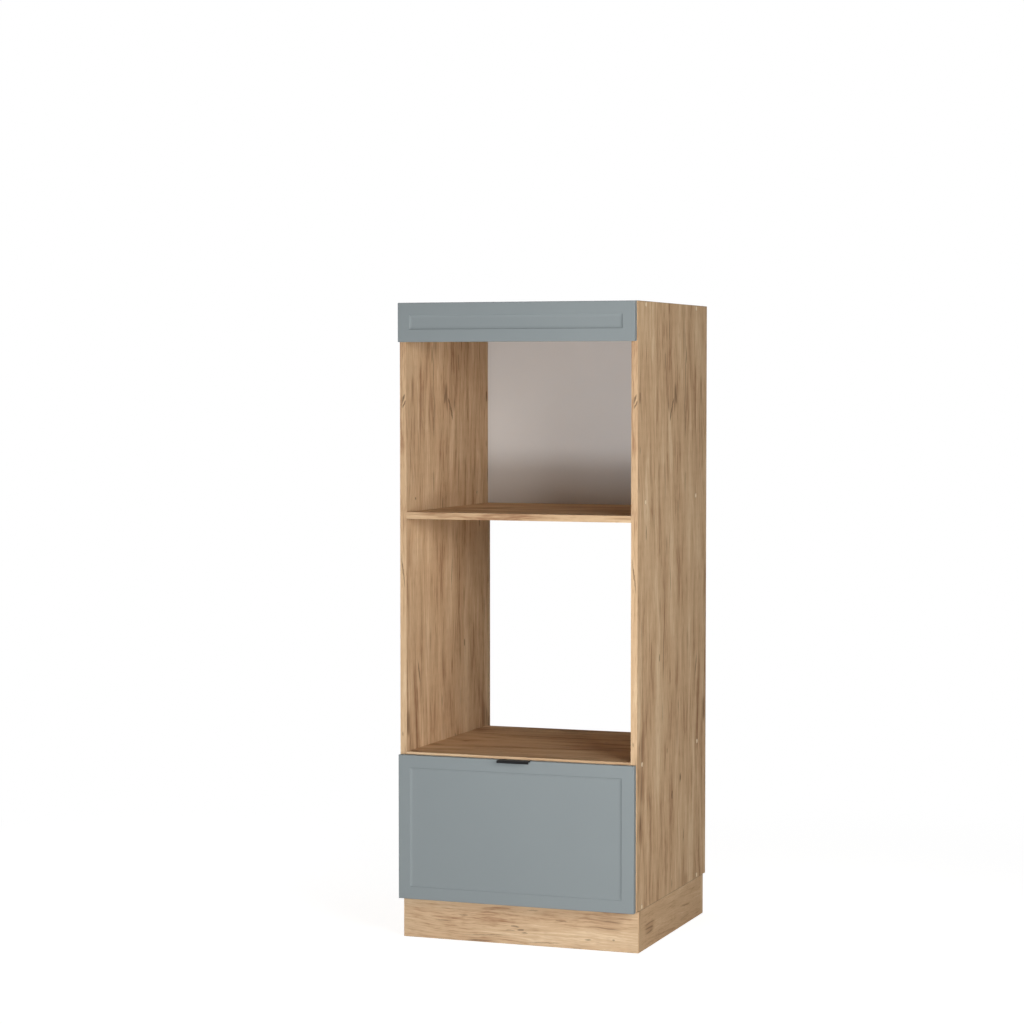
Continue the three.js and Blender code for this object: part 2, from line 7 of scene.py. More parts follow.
import bmesh
import bpy
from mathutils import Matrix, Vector

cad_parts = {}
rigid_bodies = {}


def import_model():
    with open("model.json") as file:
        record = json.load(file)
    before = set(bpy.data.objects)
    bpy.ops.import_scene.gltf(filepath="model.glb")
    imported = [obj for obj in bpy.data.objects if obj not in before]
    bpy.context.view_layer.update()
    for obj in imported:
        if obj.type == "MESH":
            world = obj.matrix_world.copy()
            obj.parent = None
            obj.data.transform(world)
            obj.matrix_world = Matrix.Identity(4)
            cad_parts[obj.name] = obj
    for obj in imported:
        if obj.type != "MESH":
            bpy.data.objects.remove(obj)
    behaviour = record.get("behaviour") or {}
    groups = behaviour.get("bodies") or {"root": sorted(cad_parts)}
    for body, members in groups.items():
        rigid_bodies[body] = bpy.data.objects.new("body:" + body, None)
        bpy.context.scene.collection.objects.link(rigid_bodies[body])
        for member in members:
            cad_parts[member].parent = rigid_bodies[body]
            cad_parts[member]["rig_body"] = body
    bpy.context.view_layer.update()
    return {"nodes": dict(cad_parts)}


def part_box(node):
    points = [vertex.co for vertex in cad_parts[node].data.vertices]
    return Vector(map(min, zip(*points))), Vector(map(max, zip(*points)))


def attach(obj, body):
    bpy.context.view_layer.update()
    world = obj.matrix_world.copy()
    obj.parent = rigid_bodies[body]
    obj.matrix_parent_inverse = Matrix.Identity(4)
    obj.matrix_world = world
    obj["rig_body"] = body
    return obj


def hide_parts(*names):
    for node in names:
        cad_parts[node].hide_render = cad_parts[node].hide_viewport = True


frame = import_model()

# ---- Studio ----
# A pale floor without a horizon, and a plain white surround. Four soft lamps stand in front, two
# of them on the right, and one each on the left, low behind and overhead. The camera stands
# where the photographer's stood.
CAMERA_PLACE = (2.2698, -6.4389, 1.3517)
CAMERA_TURN = 20.299
CAMERA_TILT = -2.729
CAMERA_LENS = 97.594
SENSOR_WIDTH = 36
FLOOR_HALF = 30.0
FLOOR_ALBEDO = 0.45
FLOOR_BOUNCE = 0.6
FLOOR_GLOW = 0.84
SHADOW_REACH = 0.9
SHADOW_FADE = 1.4
SURROUND_LIGHT = 0.01
WARM = (1.0, 0.97, 0.93)

scene = bpy.context.scene


def put(tree, kind, values=None, **settings):
    """One node in a tree: settings are its properties, values fill or link its inputs."""
    made = tree.nodes.new(kind)
    for name, value in settings.items():
        setattr(made, name, value)
    for name, value in (values or {}).items():
        socket = made.inputs[name]
        if isinstance(value, bpy.types.NodeSocket):
            tree.links.new(value, socket)
        else:
            socket.default_value = value
    return made


def tree_of(values):
    """The tree that holds the first socket among some values."""
    return next(value.id_data for value in values if isinstance(value, bpy.types.NodeSocket))


def math_node(operation, first, second=0.0, third=0.0):
    values = {0: first, 1: second, 2: third}
    return put(tree_of(values.values()), "ShaderNodeMath", values, operation=operation).outputs[0]


def smooth_step(value, low, high):
    """0 where value is under low, 1 over high, and a soft turn between them."""
    values = {"Value": value, "From Min": low, "From Max": high}
    made = put(value.id_data, "ShaderNodeMapRange", values, interpolation_type="SMOOTHSTEP")
    return made.outputs["Result"]


def new_material(name):
    """A node material, with the socket of its object coordinates."""
    material = bpy.data.materials.new(name)
    material.use_nodes = True
    material.node_tree.nodes.clear()
    return material, put(material.node_tree, "ShaderNodeTexCoord").outputs["Object"]


def mesh_object(name, bm, *materials):
    """An object at the origin that holds the mesh built in bm."""
    mesh = bpy.data.meshes.new(name)
    bm.to_mesh(mesh)
    bm.free()
    for material in materials:
        mesh.materials.append(material)
    made = bpy.data.objects.new(name, mesh)
    scene.collection.objects.link(made)
    return made


camera = bpy.data.objects.new("camera", bpy.data.cameras.new("camera"))
scene.collection.objects.link(camera)
scene.camera = camera
camera.location = CAMERA_PLACE
camera.rotation_euler = (math.radians(90 + CAMERA_TILT), 0, math.radians(CAMERA_TURN))
camera.data.sensor_width = SENSOR_WIDTH
camera.data.lens = CAMERA_LENS
camera.data.clip_end = 100
scene.view_settings.view_transform = "Standard"


def seen_rays(tree):
    """1 for rays from the camera, or from a reflection or glass, and 0 for the rest."""
    path = put(tree, "ShaderNodeLightPath").outputs
    glossy = math_node("MAXIMUM", path["Is Camera Ray"], path["Is Glossy Ray"])
    return math_node("MAXIMUM", glossy, path["Is Transmission Ray"])


world = bpy.data.worlds.new("surround")
scene.world = world
world.use_nodes = True
tree = world.node_tree
tree.nodes.clear()
strength = math_node("MAXIMUM", seen_rays(tree), SURROUND_LIGHT)
surround = put(tree, "ShaderNodeBackground", {"Color": (1, 1, 1, 1), "Strength": strength})
put(tree, "ShaderNodeOutputWorld", {"Surface": surround.outputs[0]})

# Near the unit the floor is lit and shaded as a real one is. Further out it turns into plain
# white for the camera, so that it has no far edge.
floor_paint, place = new_material("studio_floor")
tree = place.id_data
distance = put(tree, "ShaderNodeVectorMath", {0: place}, operation="LENGTH").outputs["Value"]
far = smooth_step(distance, SHADOW_REACH, SHADOW_REACH + SHADOW_FADE)
bounce = put(tree, "ShaderNodeBsdfDiffuse", {"Color": (FLOOR_BOUNCE,) * 3 + (1,)}).outputs[0]
lit = put(tree, "ShaderNodeBsdfDiffuse", {"Color": (FLOOR_ALBEDO,) * 3 + (1,)}).outputs[0]
glow = put(tree, "ShaderNodeEmission", {"Strength": FLOOR_GLOW}).outputs[0]
near_floor = put(tree, "ShaderNodeAddShader", {0: lit, 1: glow}).outputs[0]
white = put(tree, "ShaderNodeEmission", {"Strength": 1.0}).outputs[0]
seen_floor = put(tree, "ShaderNodeMixShader", {0: far, 1: near_floor, 2: white}).outputs[0]
whole = put(tree, "ShaderNodeMixShader", {0: seen_rays(tree), 1: bounce, 2: seen_floor})
put(tree, "ShaderNodeOutputMaterial", {"Surface": whole.outputs[0]})

bm = bmesh.new()
bmesh.ops.create_grid(bm, x_segments=1, y_segments=1, size=FLOOR_HALF)
floor = mesh_object("studio_floor", bm, floor_paint)


def soft_lamp(name, place, aim, width, height, power, colour=(1, 1, 1)):
    lamp = bpy.data.objects.new(name, bpy.data.lights.new(name, "AREA"))
    scene.collection.objects.link(lamp)
    lamp.data.shape = "RECTANGLE"
    lamp.data.size = width
    lamp.data.size_y = height
    lamp.data.energy = power
    lamp.data.color = colour
    lamp.location = place
    lamp.rotation_mode = "QUATERNION"
    lamp.rotation_quaternion = (Vector(aim) - Vector(place)).to_track_quat("-Z", "Y")
    lamp.visible_camera = False


soft_lamp("side_lamp", (2.9, -1.7, 1.0), (0, 0, 0.75), 0.9, 0.9, 26, WARM)
soft_lamp("upper_lamp", (2.3, -2.5, 1.75), (0, 0, 0.75), 0.9, 0.9, 38.5, WARM)
soft_lamp("front_lamp", (0.3, -4.4, 0.6), (0, 0, 0.75), 1.6, 1.1, 56)
soft_lamp("low_lamp", (0.4, -3.5, 0.35), (0, 0, 0.75), 1.6, 0.4, 26)
soft_lamp("rear_lamp", (-0.9, 3.5, 0.22), (0, 0.3, 0.6), 0.8, 0.36, 46)
soft_lamp("left_lamp", (-3.2, 0.3, 0.8), (0, 0.1, 0.75), 1.0, 1.0, 34)
soft_lamp("top_lamp", (0.1, 0.25, 3.1), (0.1, 0.25, 0), 1.1, 1.1, 13)

# ---- Side boards ----
# Two uprights of 16 mm chipboard under a printed golden oak film, with the grain upright. They
# carry every other board. A 2 mm band of the same print is glued on the front edge and rounded
# over; the other edges are bare core.
SIDE_PRINT_CENTRE = 0.012
BAND_THICKNESS = 0.002
BAND_ROUNDING = 0.0016
EASED_EDGE = 0.0003
SIDE_EASING = 0.0009
SIDE_FIGURE = 1.1
SIDE_FIBRE = 1.25
OAK_LIGHT = (0.810, 0.616, 0.406, 1)
OAK_MIDDLE = (0.655, 0.453, 0.275, 1)
OAK_DARK = (0.335, 0.176, 0.096, 1)
OAK_MARK = (0.120, 0.074, 0.043, 1)
ON_FACE = 2e-5

SOCKET_KINDS = {
    float: "NodeSocketFloat", int: "NodeSocketInt", tuple: "NodeSocketColor",
    Vector: "NodeSocketVector", bpy.types.Material: "NodeSocketMaterial",
    bpy.types.Mesh: "NodeSocketGeometry",
}


def add_sockets(tree, way, sockets):
    """Named sockets at an end of a tree. Each is given by its default, or only by a type."""
    for label, value in sockets.items():
        kind = value if isinstance(value, type) else type(value)
        socket = tree.interface.new_socket(label, in_out=way, socket_type=SOCKET_KINDS[kind])
        if value is not kind:
            socket.default_value = value


def shader_group(name, inputs, outputs):
    """An empty shader node group with named sockets, and its input and output nodes."""
    group = bpy.data.node_groups.new(name, "ShaderNodeTree")
    add_sockets(group, "INPUT", inputs)
    add_sockets(group, "OUTPUT", outputs)
    return group, put(group, "NodeGroupInput").outputs, put(group, "NodeGroupOutput")


def gives(result, **sockets):
    """Links what a group gives to its output node."""
    for label, socket in sockets.items():
        result.id_data.links.new(socket, result.inputs[label])


def use_group(group, values):
    return put(tree_of(values.values()), "ShaderNodeGroup", values, node_tree=group).outputs


def titled(values):
    """Keyword values under the labels of sockets: knot_share becomes Knot Share."""
    return {name.replace("_", " ").title(): value for name, value in values.items()}


times, times_plus = partial(math_node, "MULTIPLY"), partial(math_node, "MULTIPLY_ADD")
plus, minus = partial(math_node, "ADD"), partial(math_node, "SUBTRACT")
divided, greater = partial(math_node, "DIVIDE"), partial(math_node, "MAXIMUM")


def mixed_colour(factor, first, second):
    values = {0: factor, 6: first, 7: second}
    return put(factor.id_data, "ShaderNodeMix", values, data_type="RGBA").outputs[2]


def noise(point, scale, detail=2.0, rough=0.5, distortion=0.0, output=0):
    values = {"Scale": scale, "Detail": detail, "Roughness": rough, "Distortion": distortion}
    return put(point.id_data, "ShaderNodeTexNoise", {"Vector": point} | values).outputs[output]


def axes_of(point):
    return put(point.id_data, "ShaderNodeSeparateXYZ", {0: point}).outputs


def vector_of(**axes):
    return put(tree_of(axes.values()), "ShaderNodeCombineXYZ", axes).outputs[0]


def channels_of(colour):
    return put(colour.id_data, "ShaderNodeSeparateColor", {0: colour}).outputs


def cells_of(point, scale, dimensions="3D"):
    kind, values = "ShaderNodeTexVoronoi", {"Vector": point, "Scale": scale}
    return put(point.id_data, kind, values, voronoi_dimensions=dimensions).outputs


def plane_point(across, along, across_scale, along_scale, layer):
    """A point for a texture: two scaled coordinates, and a layer of its own for each use."""
    return vector_of(X=times(across, across_scale), Y=times(along, along_scale), Z=layer)


def streaks(across, along, across_scale, along_scale, layer, detail=2.0, rough=0.5):
    """Noise stretched along the grain, about 0 at its middle."""
    point = plane_point(across, along, across_scale, along_scale, layer)
    return minus(noise(point, 1.0, detail, rough), 0.5)


# The print: its vector is in metres with the grain along Z. Grain lines bend round the knots
# because knots and marks push the coordinate that the lines are drawn from.
oak_print, given, result = shader_group(
    "oak_print",
    {
        "Vector": Vector(), "Light": OAK_LIGHT, "Middle": OAK_MIDDLE, "Dark": OAK_DARK,
        "Mark": OAK_MARK, "Marks": 0.0, "Figure": 1.0, "Fibre": 1.0, "Knot Share": 0.3, "Seed": 0.0,
    },
    {"Color": tuple, "Roughness": float, "Height": float},
)
axes = axes_of(given["Vector"])
straight = plus(plus(axes["X"], axes["Y"]), given["Seed"])
along = times_plus(given["Seed"], 1.7, axes["Z"])
drift = streaks(straight, along, 3.5, 0.9, 1.0)
ripple = streaks(straight, along, 15.0, 6.0, 2.0, 3.0)
across = times_plus(drift, 0.09, straight)
across = times_plus(ripple, 0.015, across)
# Knots stand in some cells of a stretched Voronoi pattern.
cells = cells_of(plane_point(straight, along, 5.0, 2.1, 0.0), 1.0, "2D")
lot = channels_of(cells["Color"])
chosen = math_node("LESS_THAN", lot[0], given["Knot Share"])
knot_distance = times_plus(streaks(straight, along, 260.0, 90.0, 3.0), 0.03, cells["Distance"])
core_size = times_plus(lot[1], 0.028, 0.016)
core = times(smooth_step(divided(knot_distance, core_size), 1.3, 0.5), chosen)
swell = divided(knot_distance, 0.13)
swell = math_node("EXPONENT", times(times(swell, swell), -1.0))
swell = times(swell, chosen)
across = times_plus(swell, 0.017, across)
across = times_plus(given["Marks"], 0.006, across)
# Tone: broad bands, streaks, fine lines and fibres, from wide to narrow.
band_tone = streaks(across, along, 19.0, 2.6, 4.0, 2.0)
streak_tone = streaks(across, along, 46.0, 4.0, 5.0, 4.0, 0.6)
line_tone = streaks(across, along, 215.0, 10.0, 6.0, 3.0, 0.6)
fibre_tone = streaks(across, along, 900.0, 40.0, 7.0, 2.0)
lively = times_plus(smooth_step(drift, -0.16, 0.16), 0.75, 0.35)
figure = times_plus(streak_tone, lively, band_tone)
fine = times_plus(fibre_tone, 0.35, times(line_tone, 0.75))
tone = times_plus(fine, given["Fibre"], times(figure, given["Figure"]))
tone = times_plus(swell, -0.10, tone)
lighter = smooth_step(tone, 0.0, 0.34)
darker = smooth_step(tone, 0.0, -0.37)
# Checks: thin dark lines where a slow noise crosses its middle, broken up by another one.
crossing = math_node("ABSOLUTE", streaks(across, along, 20.0, 1.0, 8.0, 1.0))
broken = smooth_step(streaks(straight, along, 7.0, 6.5, 9.0, 1.0), 0.06, 0.2)
check_width = times_plus(broken, 0.011, 0.0005)
check = times(smooth_step(divided(crossing, check_width), 1.0, 0.2), broken)
shadow = times(smooth_step(crossing, 0.07, 0.0), broken)
# Pores: short dashes that follow the lines.
pore = smooth_step(streaks(across, along, 1500.0, 38.0, 10.0, 0.0), 0.15, 0.24)
colour = mixed_colour(lighter, given["Middle"], given["Light"])
colour = mixed_colour(darker, colour, given["Dark"])
colour = mixed_colour(times(shadow, 0.4), colour, given["Dark"])
colour = mixed_colour(times(pore, 0.3), colour, given["Dark"])
stain = greater(greater(core, times(check, 0.65)), given["Marks"])
stain = times(stain, 0.85)
colour = mixed_colour(stain, colour, given["Mark"])
polish = times_plus(pore, 0.12, times_plus(line_tone, -0.16, 0.82))
relief = times_plus(pore, -0.8, times_plus(fibre_tone, 0.5, line_tone))
relief = times_plus(stain, -0.5, relief)
gives(result, Color=colour, Roughness=polish, Height=relief)

# One mark of the print: a spindle with its place, its half width and half
# length in metres, and the slope at which it leans across the grain.
print_mark, given, result = shader_group(
    "print_mark",
    {
        "Across": 0.0, "Along": 0.0, "Mark Across": 0.0, "Mark Along": 0.0, "Half Width": 0.003,
        "Half Length": 0.03, "Lean": 0.0, "Strength": 1.0,
    },
    {"Mask": float},
)
up = minus(given["Along"], given["Mark Along"])
sideways = minus(given["Across"], given["Mark Across"])
sideways = divided(minus(sideways, times(up, given["Lean"])), given["Half Width"])
up = divided(up, given["Half Length"])
spread = times_plus(up, up, times(sideways, sideways))
gives(result, Mask=times(smooth_step(spread, 1.5, 0.05), given["Strength"]))

# Rubbed edges: 1 on an edge and 0 on a face, from how far a rounded normal leans away.
rubbed_edges, given, result = shader_group(
    "rubbed_edges", {"Width": 0.001, "Raggedness": 0.4, "Vector": Vector()}, {"Mask": float}
)
rounded = put(rubbed_edges, "ShaderNodeBevel", {"Radius": given["Width"]}, samples=4)
normals = {0: rounded.outputs[0], 1: put(rubbed_edges, "ShaderNodeNewGeometry").outputs["Normal"]}
agreement = put(rubbed_edges, "ShaderNodeVectorMath", normals, operation="DOT_PRODUCT")
scuffs = times(minus(noise(given["Vector"], 140.0), 0.5), given["Raggedness"])
mask = plus(minus(1.0, agreement.outputs["Value"]), scuffs)
gives(result, Mask=smooth_step(mask, 0.04, 0.3))


def worn_colour(place, colour, width, share, tone):
    """A colour that is worn towards another tone along the edges."""
    rubbed = use_group(rubbed_edges, {"Vector": place, "Width": width})["Mask"]
    return mixed_colour(times(rubbed, share), colour, tone)


def surface(colour, roughness, height, depth, strength, gloss=0.5, metal=0.0):
    """A Principled shader with its bump. Constants are set on the shader's own sockets."""
    tree = colour.id_data
    bump = put(tree, "ShaderNodeBump", {"Strength": strength, "Distance": depth, "Height": height})
    values = {"Base Color": colour, "Roughness": roughness, "Normal": bump.outputs[0]}
    values |= {"Specular IOR Level": gloss, "Metallic": metal}
    shader = put(tree, "ShaderNodeBsdfPrincipled", values)
    put(tree, "ShaderNodeOutputMaterial", {"Surface": shader.outputs[0]})


MARK_WANDER = 0.004
MARK_LABELS = ("Mark Across", "Mark Along", "Half Width", "Half Length", "Lean", "Strength")
FILM_GLOSS = 0.05
FILM_RELIEF = 0.00012
GRAIN_TURNS = {"X": (0, math.pi / 2, 0), "Y": (-math.pi / 2, 0, 0), "Z": (0, 0, 0)}


def oak_film(name, grain, shift=(0, 0, 0), flip=(1, 1, 1), marks=(), **print_values):
    """The printed film on a board, with its grain along one axis, and marks given one by one."""
    material, place = new_material(name)
    values = {"Vector": place, "Location": shift, "Rotation": GRAIN_TURNS[grain], "Scale": flip}
    grained = put(place.id_data, "ShaderNodeMapping", values).outputs[0]
    axes = axes_of(grained)
    sheet = vector_of(X=plus(axes["X"], axes["Y"]), Z=axes["Z"])
    shifts = channels_of(noise(sheet, 95.0, 3.0, output="Color"))
    axes = axes_of(sheet)
    here = {
        "Across": times_plus(shifts[0], MARK_WANDER, axes["X"]),
        "Along": times_plus(shifts[1], 4 * MARK_WANDER, axes["Z"]),
    }
    marked = 0.0
    for right, height, *rest in marks:
        mark = (right + MARK_WANDER / 2, height + 2 * MARK_WANDER, *rest)
        mask = use_group(print_mark, here | dict(zip(MARK_LABELS, mark)))["Mask"]
        marked = greater(mask, marked)
    printed = use_group(oak_print, {"Vector": grained, "Marks": marked} | titled(print_values))
    colour = worn_colour(place, printed["Color"], 0.0008, 0.3, OAK_LIGHT)
    surface(colour, printed["Roughness"], printed["Height"], FILM_RELIEF, 0.6, FILM_GLOSS)
    return material


# Bare pressed chips: short flat flecks from pale to brown, rough and pitted.
bare_core, place = new_material("chipboard_core")
chips = cells_of(place, 420.0)
tone = times_plus(noise(place, 900.0, 3.0), 0.5, times(channels_of(chips["Color"])[0], 0.5))
colour = mixed_colour(tone, (0.22, 0.135, 0.07, 1), (0.62, 0.46, 0.29, 1))
surface(colour, 0.88, plus(tone, chips["Distance"]), 0.0004, 0.7)
AXIS = {"X": 0, "Y": 1, "Z": 2}


def baked(piece):
    """Makes what a piece's modifiers give its plain mesh."""
    graph = bpy.context.evaluated_depsgraph_get()
    old = piece.data
    piece.data = bpy.data.meshes.new_from_object(piece.evaluated_get(graph))
    piece.modifiers.clear()
    bpy.data.meshes.remove(old)
    return piece


def settled(piece, sharp_angle=35):
    """Bakes a piece's modifiers into its mesh, with flat faces flat and rounded edges smooth."""
    piece.data.set_sharp_from_angle(angle=math.radians(sharp_angle))
    weighted = piece.modifiers.new("even_normals", "WEIGHTED_NORMAL")
    weighted.keep_sharp = True
    return baked(piece)


def stands_for(piece, *nodes):
    """The piece takes the place of CAD nodes: it rides on their body, and they are hidden."""
    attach(piece, frame["nodes"][nodes[0]]["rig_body"])
    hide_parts(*nodes)
    return piece


def merged_copy(node):
    """A node's mesh with its corners merged and its flat faces made whole."""
    bm = bmesh.new()
    bm.from_mesh(frame["nodes"][node].data)
    bmesh.ops.remove_doubles(bm, verts=bm.verts, dist=1e-6)
    bmesh.ops.dissolve_limit(bm, angle_limit=math.radians(0.5), verts=bm.verts, edges=bm.edges)
    return bm


def bevelled(bm, edges, width, segments, **more):
    edges = [edge for edge in edges if edge.is_valid]
    more |= {"offset": width, "segments": segments, "profile": 0.5, "affect": "EDGES"}
    bmesh.ops.bevel(bm, geom=edges, **more)


def laminated_board(node, thickness_axis, film, band, banded, easing=EASED_EDGE):
    """A board as it leaves the shop: film on both faces, bands on the sides named in banded,
    rounded over, and bare core elsewhere, its edges eased. banded holds pairs of an axis and an
    end, 0 or 1."""
    bm = merged_copy(node)
    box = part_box(node)
    flat = AXIS[thickness_axis]
    bands = [(AXIS[name], end) for name, end in banded]
    for axis, end in bands:
        cut = Vector(box[end])
        cut[axis] += (1, -1)[end] * BAND_THICKNESS
        normal = Vector()
        normal[axis] = 1
        everything = bm.verts[:] + bm.edges[:] + bm.faces[:]
        bmesh.ops.bisect_plane(bm, geom=everything, plane_co=cut, plane_no=normal, dist=1e-6)
    for face in bm.faces:
        middle = face.calc_center_median()
        skin = any(abs(middle[flat] - corner[flat]) < ON_FACE for corner in box)
        face.material_index = 0 if skin and abs(face.normal[flat]) > 0.9 else 2
        if any(abs(middle[axis] - box[end][axis]) < BAND_THICKNESS for axis, end in bands):
            face.material_index = 1

    def outer(edge, axis, end):
        return all(abs(vert.co[axis] - box[end][axis]) < ON_FACE for vert in edge.verts)

    rounded, eased = [], []
    sides = [(axis, end) for axis in range(3) for end in range(2)]
    for edge in bm.edges:
        touched = [side for side in sides if outer(edge, *side)]
        if len(touched) < 2:
            continue
        on_band = any(side in touched for side in bands)
        flat_too = any(axis == flat for axis, _ in touched)
        (rounded if on_band and flat_too else eased).append(edge)
    bevelled(bm, eased, easing, 1, material=2)
    bevelled(bm, rounded, BAND_ROUNDING, 5)
    return stands_for(settled(mesh_object(f"{node}_board", bm, film, band, bare_core)), node)


# Marks of the side print: across, along, half width and half length in millimetres, lean and
# strength, with the right board's outer face as the sheet. The left board's inner face shows
# the sheet mirrored.
SIDE_MARKS = (
    (-252, 1309, 4, 14, 0, 0.9),
    (9, 1293, 4.5, 16, 0.5, 0.85),
    (-6, 1269, 4.5, 16, 0.4, 0.8),
    (117, 1360, 3, 60, -0.05, 0.6),
    (112, 1265, 3.5, 60, -0.05, 0.65),
    (125, 1412, 2.5, 22, 0, 0.9),
    (-18, 1469, 4, 28, 0, 0.5),
    (-52, 1395, 3, 24, 0, 0.5),
    (115, 1102, 4, 30, 0, 0.4),
    (57, 1043, 3, 18, 0, 0.6),
    (-202, 990, 3, 18, 0, 0.85),
    (-140, 1018, 3, 26, 0, 0.5),
    (-248, 1186, 3, 10, 0, 0.6),
    (-258, 1105, 2.5, 20, 0, 0.6),
    (-6, 868, 1.8, 45, -0.1, 0.75),
    (-234, 759, 2.8, 36, 0, 0.55),
    (-93, 684, 4.5, 10, 0, 0.65),
    (212, 640, 3.5, 30, 0.25, 0.85),
    (-62, 684, 1.8, 60, 0, 0.85),
    (-67, 548, 1.8, 28, 0, 0.6),
    (61, 552, 3, 14, 0, 0.6),
    (-30, 453, 4.5, 9, 0, 0.5),
    (81, 374, 6, 12, 0, 0.85),
    (12, 340, 5, 10, 0, 0.85),
    (-168, 347, 2.4, 24, 0, 0.75),
    (109, 225, 3, 22, 0.1, 0.6),
    (12, 121, 3, 12, 0, 0.6),
    (-239, 315, 2.8, 14, 0, 0.5),
)
BAND_MARKS = (
    (-0.5, 892, 1.6, 40, -0.12, 0.8),
    (1, 1308, 2.8, 12, 0.3, 0.9),
    (3, 1292, 2.2, 10, 0.4, 0.85),
    (-2, 497, 2, 6, 0, 0.5),
)
SIDES = {"left": -1, "right": 1}


def in_metres(marks):
    return [(*(size / 1000 for size in mark[:4]), *mark[4:]) for mark in marks]


outer_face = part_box("side_right")[1].x
inner_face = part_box("side_left")[1].x
board_middle = (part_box("side_right")[0].x + outer_face) / 2
sheet_marks = [(across + outer_face, *rest) for across, *rest in in_metres(SIDE_MARKS)]
side_print = {
    "marks": sheet_marks, "knot_share": 0.0, "figure": SIDE_FIGURE, "fibre": SIDE_FIBRE
}
mirrored = {"shift": (outer_face - inner_face, 2 * SIDE_PRINT_CENTRE, 0), "flip": (1, -1, 1)}
side_films = {
    "right": oak_film("oak_side_right", "Z", **side_print),
    "left": oak_film("oak_side_left", "Z", **mirrored, **side_print),
}
for side, sign in SIDES.items():
    band_place = (-sign * board_middle, -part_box(f"side_{side}")[0].y, 0)
    band_print = {"marks": in_metres(BAND_MARKS), "seed": 2.6, "knot_share": 0.0, "figure": 0.7}
    edge_band = oak_film(f"oak_band_{side}", "Z", shift=band_place, **band_print)
    laminated_board(f"side_{side}", "X", side_films[side], edge_band, [("Y", 0)], SIDE_EASING)

# ---- Levels of the carcass ----
# Bottom, oven shelf, microwave shelf and top: the same board, with the grain across the unit.
# The oven shelf is shorter than the rest, so that warm air can rise behind it.
level_film = oak_film("oak_levels", "X", seed=5.2, knot_share=0.1)
level_band = oak_film("oak_band_levels", "X", seed=8.9, knot_share=0.0)
for level in ("bottom_panel", "oven_shelf", "microwave_shelf", "top_panel"):
    laminated_board(level, "Z", level_film, level_band, [("Y", 0)])

# ---- Plinth box ----
# Four boards on edge under the carcass. The front and rear boards run the full width and cover
# the ends of the other two. Dowels and glue hold them, and they are banded where ends show.
PLINTH_EASING = 0.0009
PLINTH_MIDDLE = (0.650, 0.466, 0.296, 1)
PLINTH_LIGHT = (0.810, 0.635, 0.436, 1)
PLINTH_MARKS = (
    (-10, 43, 2.2, 11, 0.12, 0.75),
    (3, 36, 2.6, 8, -0.10, 0.75),
    (12, 29, 1.8, 9, 0.06, 0.65),
    (-26, 33, 1.4, 14, 0, 0.5),
    (-144, 62, 1.8, 12, 0, 0.55),
    (-196, 46, 1.4, 22, 0.03, 0.5),
    (106, 64, 1.6, 16, 0, 0.55),
    (174, 24, 2, 8, 0, 0.65),
    (237, 27, 2.2, 6, 0, 0.65),
    (35, 85, 2, 16, 0, 0.45),
    (-85, 18, 1.2, 60, -0.06, 0.55),
    (62, 9, 1.4, 40, -0.04, 0.6),
)
plinth_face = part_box("plinth_front")[0].y
plinth_marks = in_metres(PLINTH_MARKS)
plinth_marks = [(height + plinth_face, -right, *rest) for right, height, *rest in plinth_marks]
plinth_print = {"knot_share": 0.0, "figure": 0.65, "fibre": 1.25}
plinth_print |= {"marks": plinth_marks, "middle": PLINTH_MIDDLE, "light": PLINTH_LIGHT}
plinth_front_film = oak_film("oak_plinth_front", "X", **plinth_print)
plinth_film = oak_film("oak_plinth", "X", seed=3.4)
calm_print = {"seed": 6.1, "knot_share": 0.0, "figure": 0.6, "fibre": 0.9}
plinth_side_film = oak_film("oak_plinth_sides", "Y", **calm_print)
plinth_end_band = oak_film("oak_band_plinth", "Z", seed=7.7, knot_share=0.0)
ends = [("X", 0), ("X", 1)]
laminated_board("plinth_front", "Y", plinth_front_film, plinth_end_band, ends, PLINTH_EASING)
laminated_board("plinth_back", "Y", plinth_film, plinth_end_band, ends, PLINTH_EASING)
for side in SIDES:
    laminated_board(f"plinth_{side}", "X", plinth_side_film, plinth_end_band, [], PLINTH_EASING)

# ---- Angle brackets ----
# Folded strips of 2 mm zinc-plated steel with a hole in each leg. Four hold the carcass down on
# its plinth box and two hold the fascia between the sides, all with small pan-head screws.
BRACKET_STEEL = 0.002
BRACKET_HOLE = 0.016
BENT_EDGE = 0.0005
CRISP_ANGLE = 40
STRAIGHT_RUN = 0.01

zinc_plate, given, result = shader_group(
    "zinc_plate", {"Vector": Vector(), "Grain": 0.5},
    {"Color": tuple, "Roughness": float, "Height": float},
)
facet = channels_of(cells_of(given["Vector"], 520.0)["Color"])[0]
haze = noise(given["Vector"], 60.0, 5.0, 0.65)
values = {0: given["Vector"], 1: (2600, 120, 2600)}
drawn = put(zinc_plate, "ShaderNodeVectorMath", values, operation="MULTIPLY").outputs[0]
lines = noise(drawn, 1.0)
mottle = times_plus(facet, 0.35, times(haze, 0.8))
colour = mixed_colour(mottle, (0.46, 0.475, 0.50, 1), (0.66, 0.66, 0.645, 1))
dulling = times_plus(lines, 0.12, times_plus(haze, 0.22, 0.20))
relief = times_plus(facet, 0.2, times(lines, given["Grain"]))
gives(result, Color=colour, Roughness=dulling, Height=relief)

zinc_steel, place = new_material("zinc_plated_steel")
plated = use_group(zinc_plate, {"Vector": place})
colour = worn_colour(place, plated["Color"], 0.0006, 0.5, (0.8, 0.8, 0.8, 1))
surface(colour, plated["Roughness"], plated["Height"], 0.00004, 0.5, metal=1.0)


def painted_node(node, material):
    """A node whose shape is right as it is: only its material changes."""
    data = frame["nodes"][node].data
    data.materials.clear()
    data.materials.append(material)


